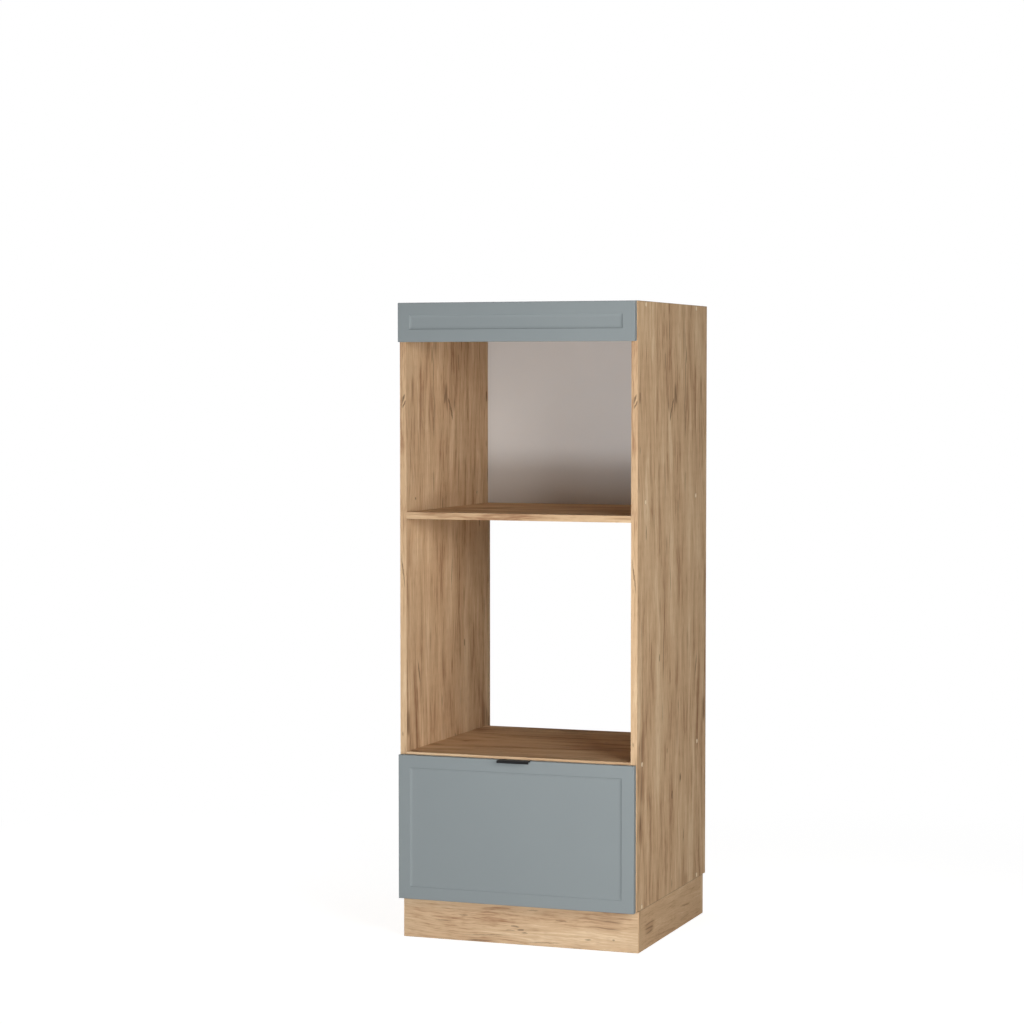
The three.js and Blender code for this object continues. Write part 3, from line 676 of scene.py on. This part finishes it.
def crisp_edges(bm):
    return [edge for edge in bm.edges if edge.calc_face_angle(0) > math.radians(CRISP_ANGLE)]


def bent_steel(node, outside_bend=BENT_EDGE, inside_bend=BENT_EDGE):
    """A copy of a folded or rolled strip with its bends and its cut edges rounded."""
    bm = merged_copy(node)
    straight = [edge for edge in crisp_edges(bm) if edge.calc_length() > STRAIGHT_RUN]
    convex = [edge for edge in straight if edge.is_convex]
    hollow = [edge for edge in straight if not edge.is_convex]
    bevelled(bm, convex, outside_bend, 3)
    bevelled(bm, hollow, inside_bend, 3)
    return stands_for(settled(mesh_object(f"{node}_steel", bm, zinc_steel)), node)


def node_tree(name, inputs):
    """An empty geometry tree that takes points, named values and a material."""
    tree = bpy.data.node_groups.new(name, "GeometryNodeTree")
    add_sockets(tree, "INPUT", {"Points": bpy.types.Mesh} | inputs | {"Material": bpy.types.Material})
    add_sockets(tree, "OUTPUT", {"Geometry": bpy.types.Mesh})
    return tree, put(tree, "NodeGroupInput").outputs


def on_points(points, instance, **placing):
    values = {"Points": points, "Instance": instance} | placing
    return put(points.id_data, "GeometryNodeInstanceOnPoints", values).outputs[0]


def end_tree(instances, material):
    """Real geometry with its material is what leaves the tree."""
    tree = instances.id_data
    real = put(tree, "GeometryNodeRealizeInstances", {"Geometry": instances}).outputs[0]
    made = put(tree, "GeometryNodeSetMaterial", {"Geometry": real, "Material": material})
    put(tree, "NodeGroupOutput", {"Geometry": made.outputs[0]})


def facing(seed):
    """The turn that lays an instance's Z along its point's direction, spun by chance."""
    tree = seed.id_data
    kind, values = "GeometryNodeInputNamedAttribute", {"Name": "facing"}
    direction = put(tree, kind, values, data_type="FLOAT_VECTOR").outputs[0]
    aligned = put(tree, "FunctionNodeAlignRotationToVector", {"Vector": direction}, axis="Z")
    chance = put(tree, "FunctionNodeRandomValue", {2: 0.0, 3: math.tau, "Seed": seed})
    spin = put(tree, "FunctionNodeAxisAngleToRotation", {"Angle": chance.outputs[1]})
    spun = {"Rotation": aligned.outputs[0], "Rotate By": spin.outputs[0]}
    return put(tree, "FunctionNodeRotateRotation", spun, rotation_space="LOCAL").outputs[0]


def turned_head(sides, radius, height, under, depth):
    """A domed disc: its rim stands on Z = 0, its crown is height above, and its underside is
    drawn in to the radius under at a depth below. How far out a point lies comes with it, from 0
    at the crown to 1 on the rim."""
    tree = radius.id_data
    values = {"Vertices": sides, "Side Segments": 1, "Fill Segments": 6, "Radius": radius, "Depth": 1.0}
    disc = put(tree, "GeometryNodeMeshCylinder", values).outputs["Mesh"]
    point = put(tree, "GeometryNodeInputPosition").outputs[0]
    x, y, z = axes_of(point)
    reach = divided(times_plus(x, x, times(y, y)), times(radius, radius))
    crown = math_node("SQRT", greater(minus(1.0, times(reach, reach)), 0.0))
    upper = times(times_plus(crown, 0.7, 0.3), height)
    top = math_node("GREATER_THAN", z, 0.0)
    scale = put(tree, "ShaderNodeMix", {0: top, 2: divided(under, radius), 3: 1.0}).outputs[0]
    level = put(tree, "ShaderNodeMix", {0: top, 2: times(depth, -1.0), 3: upper}).outputs[0]
    moved = {"Geometry": disc, "Position": vector_of(X=times(x, scale), Y=times(y, scale), Z=level)}
    return put(tree, "GeometryNodeSetPosition", moved).outputs[0], reach


def shank(sides, radius, start, length):
    """A plain stem from a depth below Z = 0 down to its length."""
    tree = radius.id_data
    values = {"Vertices": sides, "Radius": radius, "Depth": length}
    rod = put(tree, "GeometryNodeMeshCylinder", values).outputs["Mesh"]
    values = {"Geometry": rod, "Translation": vector_of(Z=minus(times(length, -0.5), start))}
    return put(tree, "GeometryNodeTransform", values).outputs[0]


def joined(*parts):
    whole = put(parts[0].id_data, "GeometryNodeJoinGeometry")
    for part in parts:
        whole.id_data.links.new(part, whole.inputs[0])
    return whole.outputs[0]


# A screw with a cross recess. A pan head stands on its rim; a countersunk one is drawn in.
cross_screws, given = node_tree(
    "cross_screws",
    {
        "Head Radius": 0.003, "Head Height": 0.0015, "Head Depth": 0.0002, "Neck Radius": 0.003,
        "Shank Radius": 0.0015, "Shank Length": 0.012, "Recess Width": 0.0007,
        "Recess Depth": 0.001, "Seed": 4,
    },
)
radius, height, depth, neck = (
    given[label] for label in ("Head Radius", "Head Height", "Head Depth", "Neck Radius")
)
head, _ = turned_head(28, radius, height, neck, depth)
span = times(radius, 1.15)
deep = times(given["Recess Depth"], 2.0)
bars = []
for x_size, y_size in ((given["Recess Width"], span), (span, given["Recess Width"])):
    size = vector_of(X=x_size, Y=y_size, Z=deep)
    bars.append(put(cross_screws, "GeometryNodeMeshCube", {"Size": size}).outputs["Mesh"])
both = put(cross_screws, "GeometryNodeMeshBoolean", {1: bars[0]}, operation="UNION")
cross_screws.links.new(bars[1], both.inputs[1])
raised = {"Geometry": both.outputs[0], "Translation": vector_of(Z=height)}
cross = put(cross_screws, "GeometryNodeTransform", raised).outputs[0]
recessed = put(cross_screws, "GeometryNodeMeshBoolean", {0: head, 1: cross}, operation="DIFFERENCE")
rod = shank(12, given["Shank Radius"], depth, given["Shank Length"])
whole = joined(recessed.outputs[0], rod)
end_tree(on_points(given["Points"], whole, Rotation=facing(given["Seed"])), given["Material"])


def grown(name, tree, places, **sizes):
    """What a tree makes at (point, direction) places, as one plain mesh."""
    bm = bmesh.new()
    layer = bm.verts.layers.float_vector.new("facing")
    for point, direction in places:
        bm.verts.new(point)[layer] = direction
    piece = mesh_object(name, bm)
    modifier = piece.modifiers.new(name, "NODES")
    modifier.node_group = tree
    named = {item.name: item.identifier for item in tree.interface.items_tree}
    for label, value in titled(sizes).items():
        modifier[named[label]] = value
    attributes = baked(piece).data.attributes
    if "facing" in attributes:
        attributes.remove(attributes["facing"])
    return settled(piece)


def fitted(piece, body):
    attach(piece, body)
    return piece


def box_of(node):
    low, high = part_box(node)
    return low, high, (low + high) / 2


bracket_screws = []
for side, sign in SIDES.items():
    for end, inward in (("front", 1), ("rear", -1)):
        node = f"plinth_bracket_{side}_{end}"
        bent_steel(node)
        low, high, middle = box_of(node)
        corner = low.y if end == "front" else high.y
        on_board = (middle.x, corner + inward * BRACKET_STEEL, high.z - BRACKET_HOLE)
        on_bottom = (middle.x, corner + inward * BRACKET_HOLE, high.z - BRACKET_STEEL)
        bracket_screws += [(on_board, (0, inward, 0)), (on_bottom, (0, 0, -1))]
    node = f"fascia_bracket_{side}"
    bent_steel(node)
    low, high, middle = box_of(node)
    corner = high.x if sign > 0 else low.x
    on_side = (corner - sign * BRACKET_STEEL, low.y + BRACKET_HOLE, middle.z)
    on_fascia = (corner - sign * BRACKET_HOLE, low.y + BRACKET_STEEL, middle.z)
    bracket_screws += [(on_side, (-sign, 0, 0)), (on_fascia, (0, 1, 0))]
screws = grown(
    "bracket_screws", cross_screws, bracket_screws,
    head_radius=0.0036, head_height=0.0020, neck_radius=0.0036, shank_radius=0.0017,
    shank_length=0.013, recess_width=0.0009, recess_depth=0.0013, material=zinc_steel,
)
fitted(screws, "carcass")

# ---- Screws through the sides, with their caps ----
# Twelve confirmat screws join the levels to the sides. Each head is sunk flush and hidden by a
# pressed-in beige plastic cap 12 mm across. Four like covers close spare holes over the shelf.
CAP_RADIUS = 0.0060
CAP_HEIGHT = 0.0009

cap_plastic, place = new_material("beige_plastic")
cloud = noise(place, 220.0, 4.0)
colour = mixed_colour(cloud, (0.87, 0.69, 0.48, 1), (0.93, 0.77, 0.56, 1))
colour = worn_colour(place, colour, 0.0005, 0.4, (0.96, 0.83, 0.64, 1))
rim = put(place.id_data, "ShaderNodeAttribute", attribute_name="rim").outputs["Fac"]
# Painted shade: each cap's rim is darkened towards deep brown. This stands in for the shadow in the
# crease where the cap meets the board.
painted_rim_shade = times(smooth_step(rim, 0.80, 0.96), 0.8)
colour = mixed_colour(painted_rim_shade, colour, (0.17, 0.105, 0.055, 1))
satin = times_plus(cloud, 0.18, 0.60)
surface(colour, satin, noise(place, 2400.0), 0.00003, 0.5, gloss=0.08)

domed_heads, given = node_tree(
    "domed_heads",
    {
        "Head Radius": 0.006, "Head Height": 0.0009, "Head Depth": 0.00002, "Shank Radius": 0.002,
        "Shank Length": 0.003, "Seed": 7,
    },
)
radius = given["Head Radius"]
head, reach = turned_head(32, radius, given["Head Height"], radius, given["Head Depth"])
values = {"Geometry": head, "Name": "rim", "Value": reach}
head = put(domed_heads, "GeometryNodeStoreNamedAttribute", values, data_type="FLOAT").outputs[0]
whole = joined(head, shank(12, given["Shank Radius"], 0.0, given["Shank Length"]))
end_tree(on_points(given["Points"], whole, Rotation=facing(given["Seed"])), given["Material"])

cap_places = []
cover_places = []
cover_nodes = []
for side, sign in SIDES.items():
    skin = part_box(f"side_{side}")[1 if sign > 0 else 0].x
    for end in ("front", "rear"):
        for level in ("bottom", "oven", "top"):
            node = f"confirmat_{level}_{side}_{end}"
            painted_node(node, zinc_steel)
            middle = box_of(node)[2]
            cap_places.append(((skin, middle.y, middle.z), (sign, 0, 0)))
        node = f"hole_cover_{side}_{end}"
        middle = box_of(node)[2]
        cover_places.append(((skin, middle.y, middle.z), (sign, 0, 0)))
        cover_nodes.append(node)
cap_sizes = {"head_radius": CAP_RADIUS, "head_height": CAP_HEIGHT, "material": cap_plastic}
caps = grown(
    "screw_caps", domed_heads, cap_places, shank_radius=0.0019, shank_length=0.0035, **cap_sizes
)
fitted(caps, "carcass")
covers = grown(
    "spare_hole_covers", domed_heads, cover_places,
    shank_radius=0.0033, shank_length=0.008, **cap_sizes,
)
stands_for(covers, *cover_nodes)

# ---- Cams under the microwave shelf ----
# Die-cast drums let into the underside of the shelf. Each is turned with a cross-head driver to
# pull the head of a steel bolt that stands in the side board.
CAM_RADIUS = 0.0072

cam_places = []
cam_nodes = []
for side in SIDES:
    for end in ("front", "rear"):
        node = f"shelf_cam_{side}_{end}"
        low, high, middle = box_of(node)
        cam_places.append(((middle.x, middle.y, low.z), (0, 0, -1)))
        cam_nodes.append(node)
        painted_node(f"cam_bolt_{side}_{end}", zinc_steel)
low, high, _ = box_of(cam_nodes[0])
cams = grown(
    "shelf_cams", cross_screws, cam_places,
    head_radius=CAM_RADIUS, head_height=0.0002, head_depth=high.z - low.z - 0.001,
    neck_radius=CAM_RADIUS, shank_radius=0.003, shank_length=0.0005,
    recess_width=0.0018, recess_depth=0.003, material=zinc_steel,
)
stands_for(cams, *cam_nodes)

# ---- Hardboard backs ----
# Two sheets of 3 mm hardboard, lacquered white on the side that shows and bare brown fibre
# behind. They slide into grooves in the sides and are nailed to the boards between them.
NAIL_PITCH = 0.11
NAILS_EACH_SIDE = 2


def plain_finish(name, clouds, tones, shine, grain, bump, worn=None, **constants):
    """A finish of one colour. Clouds (a scale and a detail) shift its tone and its shine, which
    is given as a factor and a base. A grain makes the relief, with its depth and its strength in
    bump. worn is a width, a share and a tone for the edges."""
    material, place = new_material(name)
    cloud = noise(place, *clouds)
    colour = mixed_colour(cloud, *tones)
    if worn:
        colour = worn_colour(place, colour, *worn)
    relief = noise(place, *grain) if grain else cloud
    surface(colour, times_plus(cloud, *shine), relief, *bump, **constants)
    return material


white_tones = ((0.610, 0.600, 0.592, 1), (0.650, 0.640, 0.632, 1))
white_lacquer = plain_finish(
    "white_lacquered_hardboard", (9.0, 4.0), white_tones, (0.14, 0.36), (700.0,), (0.00005, 0.5)
)
bare_fibre, place = new_material("bare_hardboard")
fluff = noise(place, 650.0, 6.0, 0.7, 1.2)
tone = times_plus(fluff, 0.7, times(noise(place, 22.0, 4.0), 0.35))
colour = mixed_colour(tone, (0.16, 0.088, 0.042, 1), (0.40, 0.255, 0.145, 1))
surface(colour, 0.85, fluff, 0.00025, 0.7)


def hardboard(node, axis_name, shown_end):
    """A sheet with its white face on one end of an axis and bare fibre on the rest."""
    axis = AXIS[axis_name]
    bm = merged_copy(node)
    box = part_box(node)
    for face in bm.faces:
        level = face.calc_center_median()[axis]
        face.material_index = 0 if abs(level - box[shown_end][axis]) < ON_FACE else 1
    bevelled(bm, crisp_edges(bm), EASED_EDGE, 2)
    return stands_for(settled(mesh_object(f"{node}_sheet", bm, white_lacquer, bare_fibre)), node)


for panel in ("back_panel_lower", "back_panel_upper"):
    hardboard(panel, "Y", 0)
nail_places = []
rear_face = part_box("back_panel_upper")[1].y
for board in ("bottom_panel", "microwave_shelf", "top_panel"):
    level = box_of(board)[2].z
    for step in range(-NAILS_EACH_SIDE, NAILS_EACH_SIDE + 1):
        nail_places.append(((step * NAIL_PITCH, rear_face, level), (0, 1, 0)))
nails = grown(
    "back_panel_nails", domed_heads, nail_places,
    head_radius=0.0021, head_height=0.0006, shank_radius=0.0007, shank_length=0.016,
    material=zinc_steel,
)
fitted(nails, "carcass")

# ---- Fascia ----
# A strip of 16 mm MDF over the microwave niche. A shallow field with a coved edge is milled out
# of its face, and soft matt blue-grey film is drawn over it all. Its back is white melamine.
FRONT_ROUNDING = 0.002
PLAN_ROUNDING = 0.0012
FRAME_MARGIN = 0.030
FRAME_FILLET = 0.0004
FIELD_DEPTH = 0.003
FIELD_COVE = 0.009
COVE_STEPS = 10
CORNER_STEPS = 5

front_film, place = new_material("blue_grey_film")
cloud = noise(place, 5.0, 3.0)
peel = noise(place, 1300.0, 2.0, 0.6)
colour = mixed_colour(cloud, (0.251, 0.285, 0.298, 1), (0.267, 0.303, 0.316, 1))
rubbed = use_group(rubbed_edges, {"Vector": place, "Width": 0.0009, "Raggedness": 0.25})["Mask"]
satin = times_plus(peel, 0.08, times_plus(cloud, 0.10, 0.50))
satin = times_plus(rubbed, -0.12, satin)
relief = times_plus(noise(place, 160.0, 3.0), 1.5, peel)
surface(colour, satin, relief, 0.00004, 0.6, gloss=0.12)

melamine_tones = ((0.74, 0.735, 0.72, 1), (0.79, 0.785, 0.77, 1))
white_back = plain_finish(
    "white_melamine", (14.0, 4.0), melamine_tones, (0.12, 0.40), (1600.0,), (0.00005, 0.6)
)


def quarter_turn(steps):
    return [math.pi / 2 * step / steps for step in range(steps + 1)]


def front_rings(thickness):
    """The cross-section of a front from its back edge to its middle, as rings of
    (inset from the outline, height over the back)."""
    rings = [(EASED_EDGE, 0.0), (0.0, EASED_EDGE)]
    for angle in quarter_turn(6):
        height = thickness - FRONT_ROUNDING * (1 - math.sin(angle))
        rings.append((FRONT_ROUNDING * (1 - math.cos(angle)), height))
    for angle in quarter_turn(3):
        inset = FRAME_MARGIN - FRAME_FILLET * (1 - math.sin(angle))
        rings.append((inset, thickness - FRAME_FILLET * (1 - math.cos(angle))))
    wall = FIELD_DEPTH - FRAME_FILLET
    for angle in quarter_turn(COVE_STEPS)[1:]:
        inset = FRAME_MARGIN + FIELD_COVE * (1 - math.cos(angle))
        rings.append((inset, thickness - FRAME_FILLET - wall * math.sin(angle)))
    return rings


def ring_points(low, high, inset, height):
    """A rectangle with rounded corners in the plane of the front, seen from the front."""
    reach = inset + PLAN_ROUNDING
    corners = (
        (high.x - reach, high.z - reach), (low.x + reach, high.z - reach),
        (low.x + reach, low.z + reach), (high.x - reach, low.z + reach),
    )
    points = []
    for quarter, (x, z) in enumerate(corners):
        for step in range(CORNER_STEPS + 1):
            angle = math.pi / 2 * (quarter + step / CORNER_STEPS)
            across = x + PLAN_ROUNDING * math.cos(angle)
            points.append((across, high.y - height, z + PLAN_ROUNDING * math.sin(angle)))
    return points


def strip_of_faces(bm, first, second):
    """Closes the band between two rings of equal count."""
    for here in range(len(first)):
        after = (here + 1) % len(first)
        bm.faces.new((first[here], first[after], second[after], second[here]))


def milled_front(node, cutters=()):
    """A front lofted through its rings, with boxes cut out where cutters are given."""
    low, high, _ = box_of(node)
    bm = bmesh.new()
    rings = []
    for ring in front_rings(high.y - low.y):
        rings.append([bm.verts.new(point) for point in ring_points(low, high, *ring)])
    for first, second in zip(rings, rings[1:]):
        strip_of_faces(bm, first, second)
    bm.faces.new(rings[0]).material_index = 1
    bm.faces.new(rings[-1])
    bmesh.ops.recalc_face_normals(bm, faces=bm.faces)
    piece = mesh_object(f"{node}_panel", bm, front_film, white_back)
    for cutter in cutters:
        modifier = piece.modifiers.new("cut", "BOOLEAN")
        modifier.operation = "DIFFERENCE"
        modifier.solver = "EXACT"
        modifier.object = cutter
    settled(piece)
    for cutter in cutters:
        bpy.data.objects.remove(cutter)
    return stands_for(piece, node)


milled_front("fascia")

# ---- Drawer front and handle ----
# The same milled and wrapped MDF as the fascia, taller. A black edge pull of folded 2 mm steel
# is let into its top edge, screwed down from above, and turns down into a lip for the fingers.
HANDLE_STEEL = 0.002
HANDLE_BEND = 0.0024
HANDLE_SEAM = 0.0002
HANDLE_EASING = 0.0004
SEAT_CLEARANCE = 0.001
HANDLE_SCREW_REACH = 0.024
BUFFER_OVER_FOOT = 0.030
BUFFER_UNDER_TOP = 0.020

powder_coat = plain_finish(
    "black_powder_coat", clouds=(90.0, 4.0),
    tones=((0.009, 0.009, 0.010, 1), (0.016, 0.016, 0.017, 1)), shine=(0.16, 0.52), grain=(2200.0,),
    bump=(0.00006, 0.6), worn=(0.0005, 0.4, (0.04, 0.04, 0.042, 1)), gloss=0.1,
)

low, high, middle = box_of("drawer_handle")
front_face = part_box("drawer_front")[0].y
seat_foot = high.z - HANDLE_STEEL - HANDLE_SEAM
seat_low = Vector((low.x - HANDLE_SEAM, front_face - SEAT_CLEARANCE, seat_foot))
seat_high = Vector((high.x + HANDLE_SEAM, high.y + HANDLE_SEAM, high.z + SEAT_CLEARANCE))
bm = bmesh.new()
bmesh.ops.create_cube(bm, size=1)
for vert in bm.verts:
    for axis in range(3):
        vert.co[axis] = seat_low[axis] if vert.co[axis] < 0 else seat_high[axis]
milled_front("drawer_front", [mesh_object("handle_seat", bm)])


def bend(radius, offset, steps):
    """A quarter turn round the strip's upper front corner, from the lip to the plate."""
    points = []
    for angle in quarter_turn(steps):
        reach = offset + radius * (1 - math.cos(angle))
        drop = offset + radius * (1 - math.sin(angle))
        points.append((low.y + reach, high.z - drop))
    return points


# The folded strip: an upper skin from the lip's foot over the bend to the back of the plate,
# and the lower skin back again, a steel's thickness inside it.
outline = [(low.y, low.z)] + bend(HANDLE_BEND, 0, 8)
outline += [(high.y, high.z), (high.y, high.z - HANDLE_STEEL)]
outline += bend(HANDLE_BEND - HANDLE_STEEL, HANDLE_STEEL, 4)[::-1]
outline.append((low.y + HANDLE_STEEL, low.z))
bm = bmesh.new()
end_loops = [[bm.verts.new((x, y, z)) for y, z in outline] for x in (low.x, high.x)]
strip_of_faces(bm, *end_loops)
for loop in end_loops:
    bm.faces.new(loop)
bmesh.ops.recalc_face_normals(bm, faces=bm.faces)
bevelled(bm, crisp_edges(bm), HANDLE_EASING, 3)
stands_for(settled(mesh_object("edge_pull", bm, powder_coat)), "drawer_handle")
screw_line = front_face + (high.y - front_face) / 2
reaches = (-HANDLE_SCREW_REACH, HANDLE_SCREW_REACH)
handle_screws = grown(
    "handle_screws", cross_screws, [((reach, screw_line, high.z), (0, 0, 1)) for reach in reaches],
    head_radius=0.0029, head_height=0.00012, head_depth=0.0013, neck_radius=0.0015,
    shank_radius=0.0015, shank_length=0.014, recess_width=0.0008, recess_depth=0.0011,
    material=powder_coat,
)
fitted(handle_screws, "drawer")

# Clear silicone buffers on the back of the drawer front, where it meets the sides' edges.
silicone_tones = ((0.70, 0.71, 0.70, 1), (0.82, 0.83, 0.82, 1))
silicone = plain_finish(
    "clear_silicone", (300.0, 3.0), silicone_tones, (0.15, 0.12), None, (0.00004, 0.4)
)
low, high, _ = box_of("drawer_front")
buffer_places = []
for sign in SIDES.values():
    for level in (low.z + BUFFER_OVER_FOOT, high.z - BUFFER_UNDER_TOP):
        buffer_places.append(((sign * board_middle, high.y, level), (0, 1, 0)))
buffers = grown(
    "drawer_buffers", domed_heads, buffer_places,
    head_radius=0.0042, head_height=0.0027, shank_radius=0.001, shank_length=0.0004,
    material=silicone,
)
fitted(buffers, "drawer")

# ---- Drawer box ----
# Four boards of the carcass's film, banded on their top edges, glued and dowelled, with a sheet
# of hardboard in a groove near the bottom, white side up.
box_side_film = oak_film("oak_drawer_sides", "Y", seed=9.3)
box_cross_film = oak_film("oak_drawer_cross", "X", seed=11.8)
box_band_y = oak_film("oak_band_drawer_sides", "Y", seed=12.6, knot_share=0.0)
box_band_x = oak_film("oak_band_drawer_cross", "X", seed=13.9, knot_share=0.0)
for side in SIDES:
    laminated_board(f"drawer_side_{side}", "X", box_side_film, box_band_y, [("Z", 1)])
for board in ("drawer_inner_front", "drawer_back"):
    laminated_board(board, "Y", box_cross_film, box_band_x, [("Z", 1)])
hardboard("drawer_bottom", "Z", 1)

# ---- Drawer slides ----
# Full-extension ball slides of rolled 1.2 mm zinc-plated steel, three members on each side. The
# balls run in two rows on each side of a thin retainer. Pan-head screws hold the outer member
# to the cabinet and the inner one to the drawer box.
SLIDE_STEEL = 0.0012
BALL_RADIUS = 0.0022
BALL_PITCH = 0.0085
BALLS_IN_ROW = 19
SLIDE_BENDS = (0.0005, 0.0003)
RETAINER_BENDS = (0.0002, 0.0001)
CABINET_HOLES = (0.035, 0.386, 0.466)
DRAWER_HOLES = (0.035, 0.200, 0.420)

steel_tones = ((0.62, 0.62, 0.61, 1), (0.78, 0.78, 0.77, 1))
polished_ball = plain_finish(
    "polished_ball_steel", (500.0, 3.0), steel_tones, (0.12, 0.08), None, (0.00002, 0.3), metal=1.0
)

ball_rows, given = node_tree("ball_rows", {"Balls": 19, "Pitch": 0.0085, "Ball Radius": 0.0022})
values = {"Count": given["Balls"], "Offset": vector_of(Y=given["Pitch"])}
row = put(ball_rows, "GeometryNodeMeshLine", values).outputs[0]
sphere = {"Segments": 14, "Rings": 9, "Radius": given["Ball Radius"]}
ball = put(ball_rows, "GeometryNodeMeshUVSphere", sphere).outputs["Mesh"]
string = on_points(row, ball)
end_tree(on_points(given["Points"], string), given["Material"])

cabinet_screws = []
drawer_screws = []
for side, sign in SIDES.items():
    for member in ("outer", "middle", "inner"):
        bent_steel(f"slide_{member}_{side}", *SLIDE_BENDS)
    low, high, middle = box_of(f"slide_outer_{side}")
    web = (high.x if sign > 0 else low.x) - sign * SLIDE_STEEL
    for from_front in CABINET_HOLES:
        cabinet_screws.append(((web, low.y + from_front, middle.z), (-sign, 0, 0)))
    low, high, middle = box_of(f"slide_inner_{side}")
    web = (low.x if sign > 0 else high.x) + sign * SLIDE_STEEL
    for from_front in DRAWER_HOLES:
        drawer_screws.append(((web, low.y + from_front, middle.z), (sign, 0, 0)))
    tracks = {"outer": ("slide_outer", "slide_middle"), "inner": ("slide_middle", "slide_inner")}
    for race, (around, within) in tracks.items():
        node = f"ball_retainer_{race}_{side}"
        bent_steel(node, *RETAINER_BENDS)
        ceiling = box_of(f"{around}_{side}")[1].z - SLIDE_STEEL
        _, inner_high, middle = box_of(f"{within}_{side}")
        rise = (ceiling + inner_high.z) / 2 - middle.z
        cage = box_of(node)[2]
        first = cage.y - BALL_PITCH * (BALLS_IN_ROW - 1) / 2
        row_starts = [((cage.x, first, middle.z + way * rise), (0, 0, 1)) for way in (-1, 1)]
        balls = grown(
            f"slide_balls_{race}_{side}", ball_rows, row_starts,
            balls=BALLS_IN_ROW, pitch=BALL_PITCH, ball_radius=BALL_RADIUS, material=polished_ball,
        )
        fitted(balls, node)
slide_screw_sizes = dict(
    head_radius=0.0030, head_height=0.0011, neck_radius=0.0030, shank_radius=0.0016,
    shank_length=0.012, recess_width=0.0008, recess_depth=0.0007, material=zinc_steel,
)
held = grown("slide_screws_cabinet", cross_screws, cabinet_screws, **slide_screw_sizes)
fitted(held, "carcass")
held = grown("slide_screws_drawer", cross_screws, drawer_screws, **slide_screw_sizes)
fitted(held, "drawer")
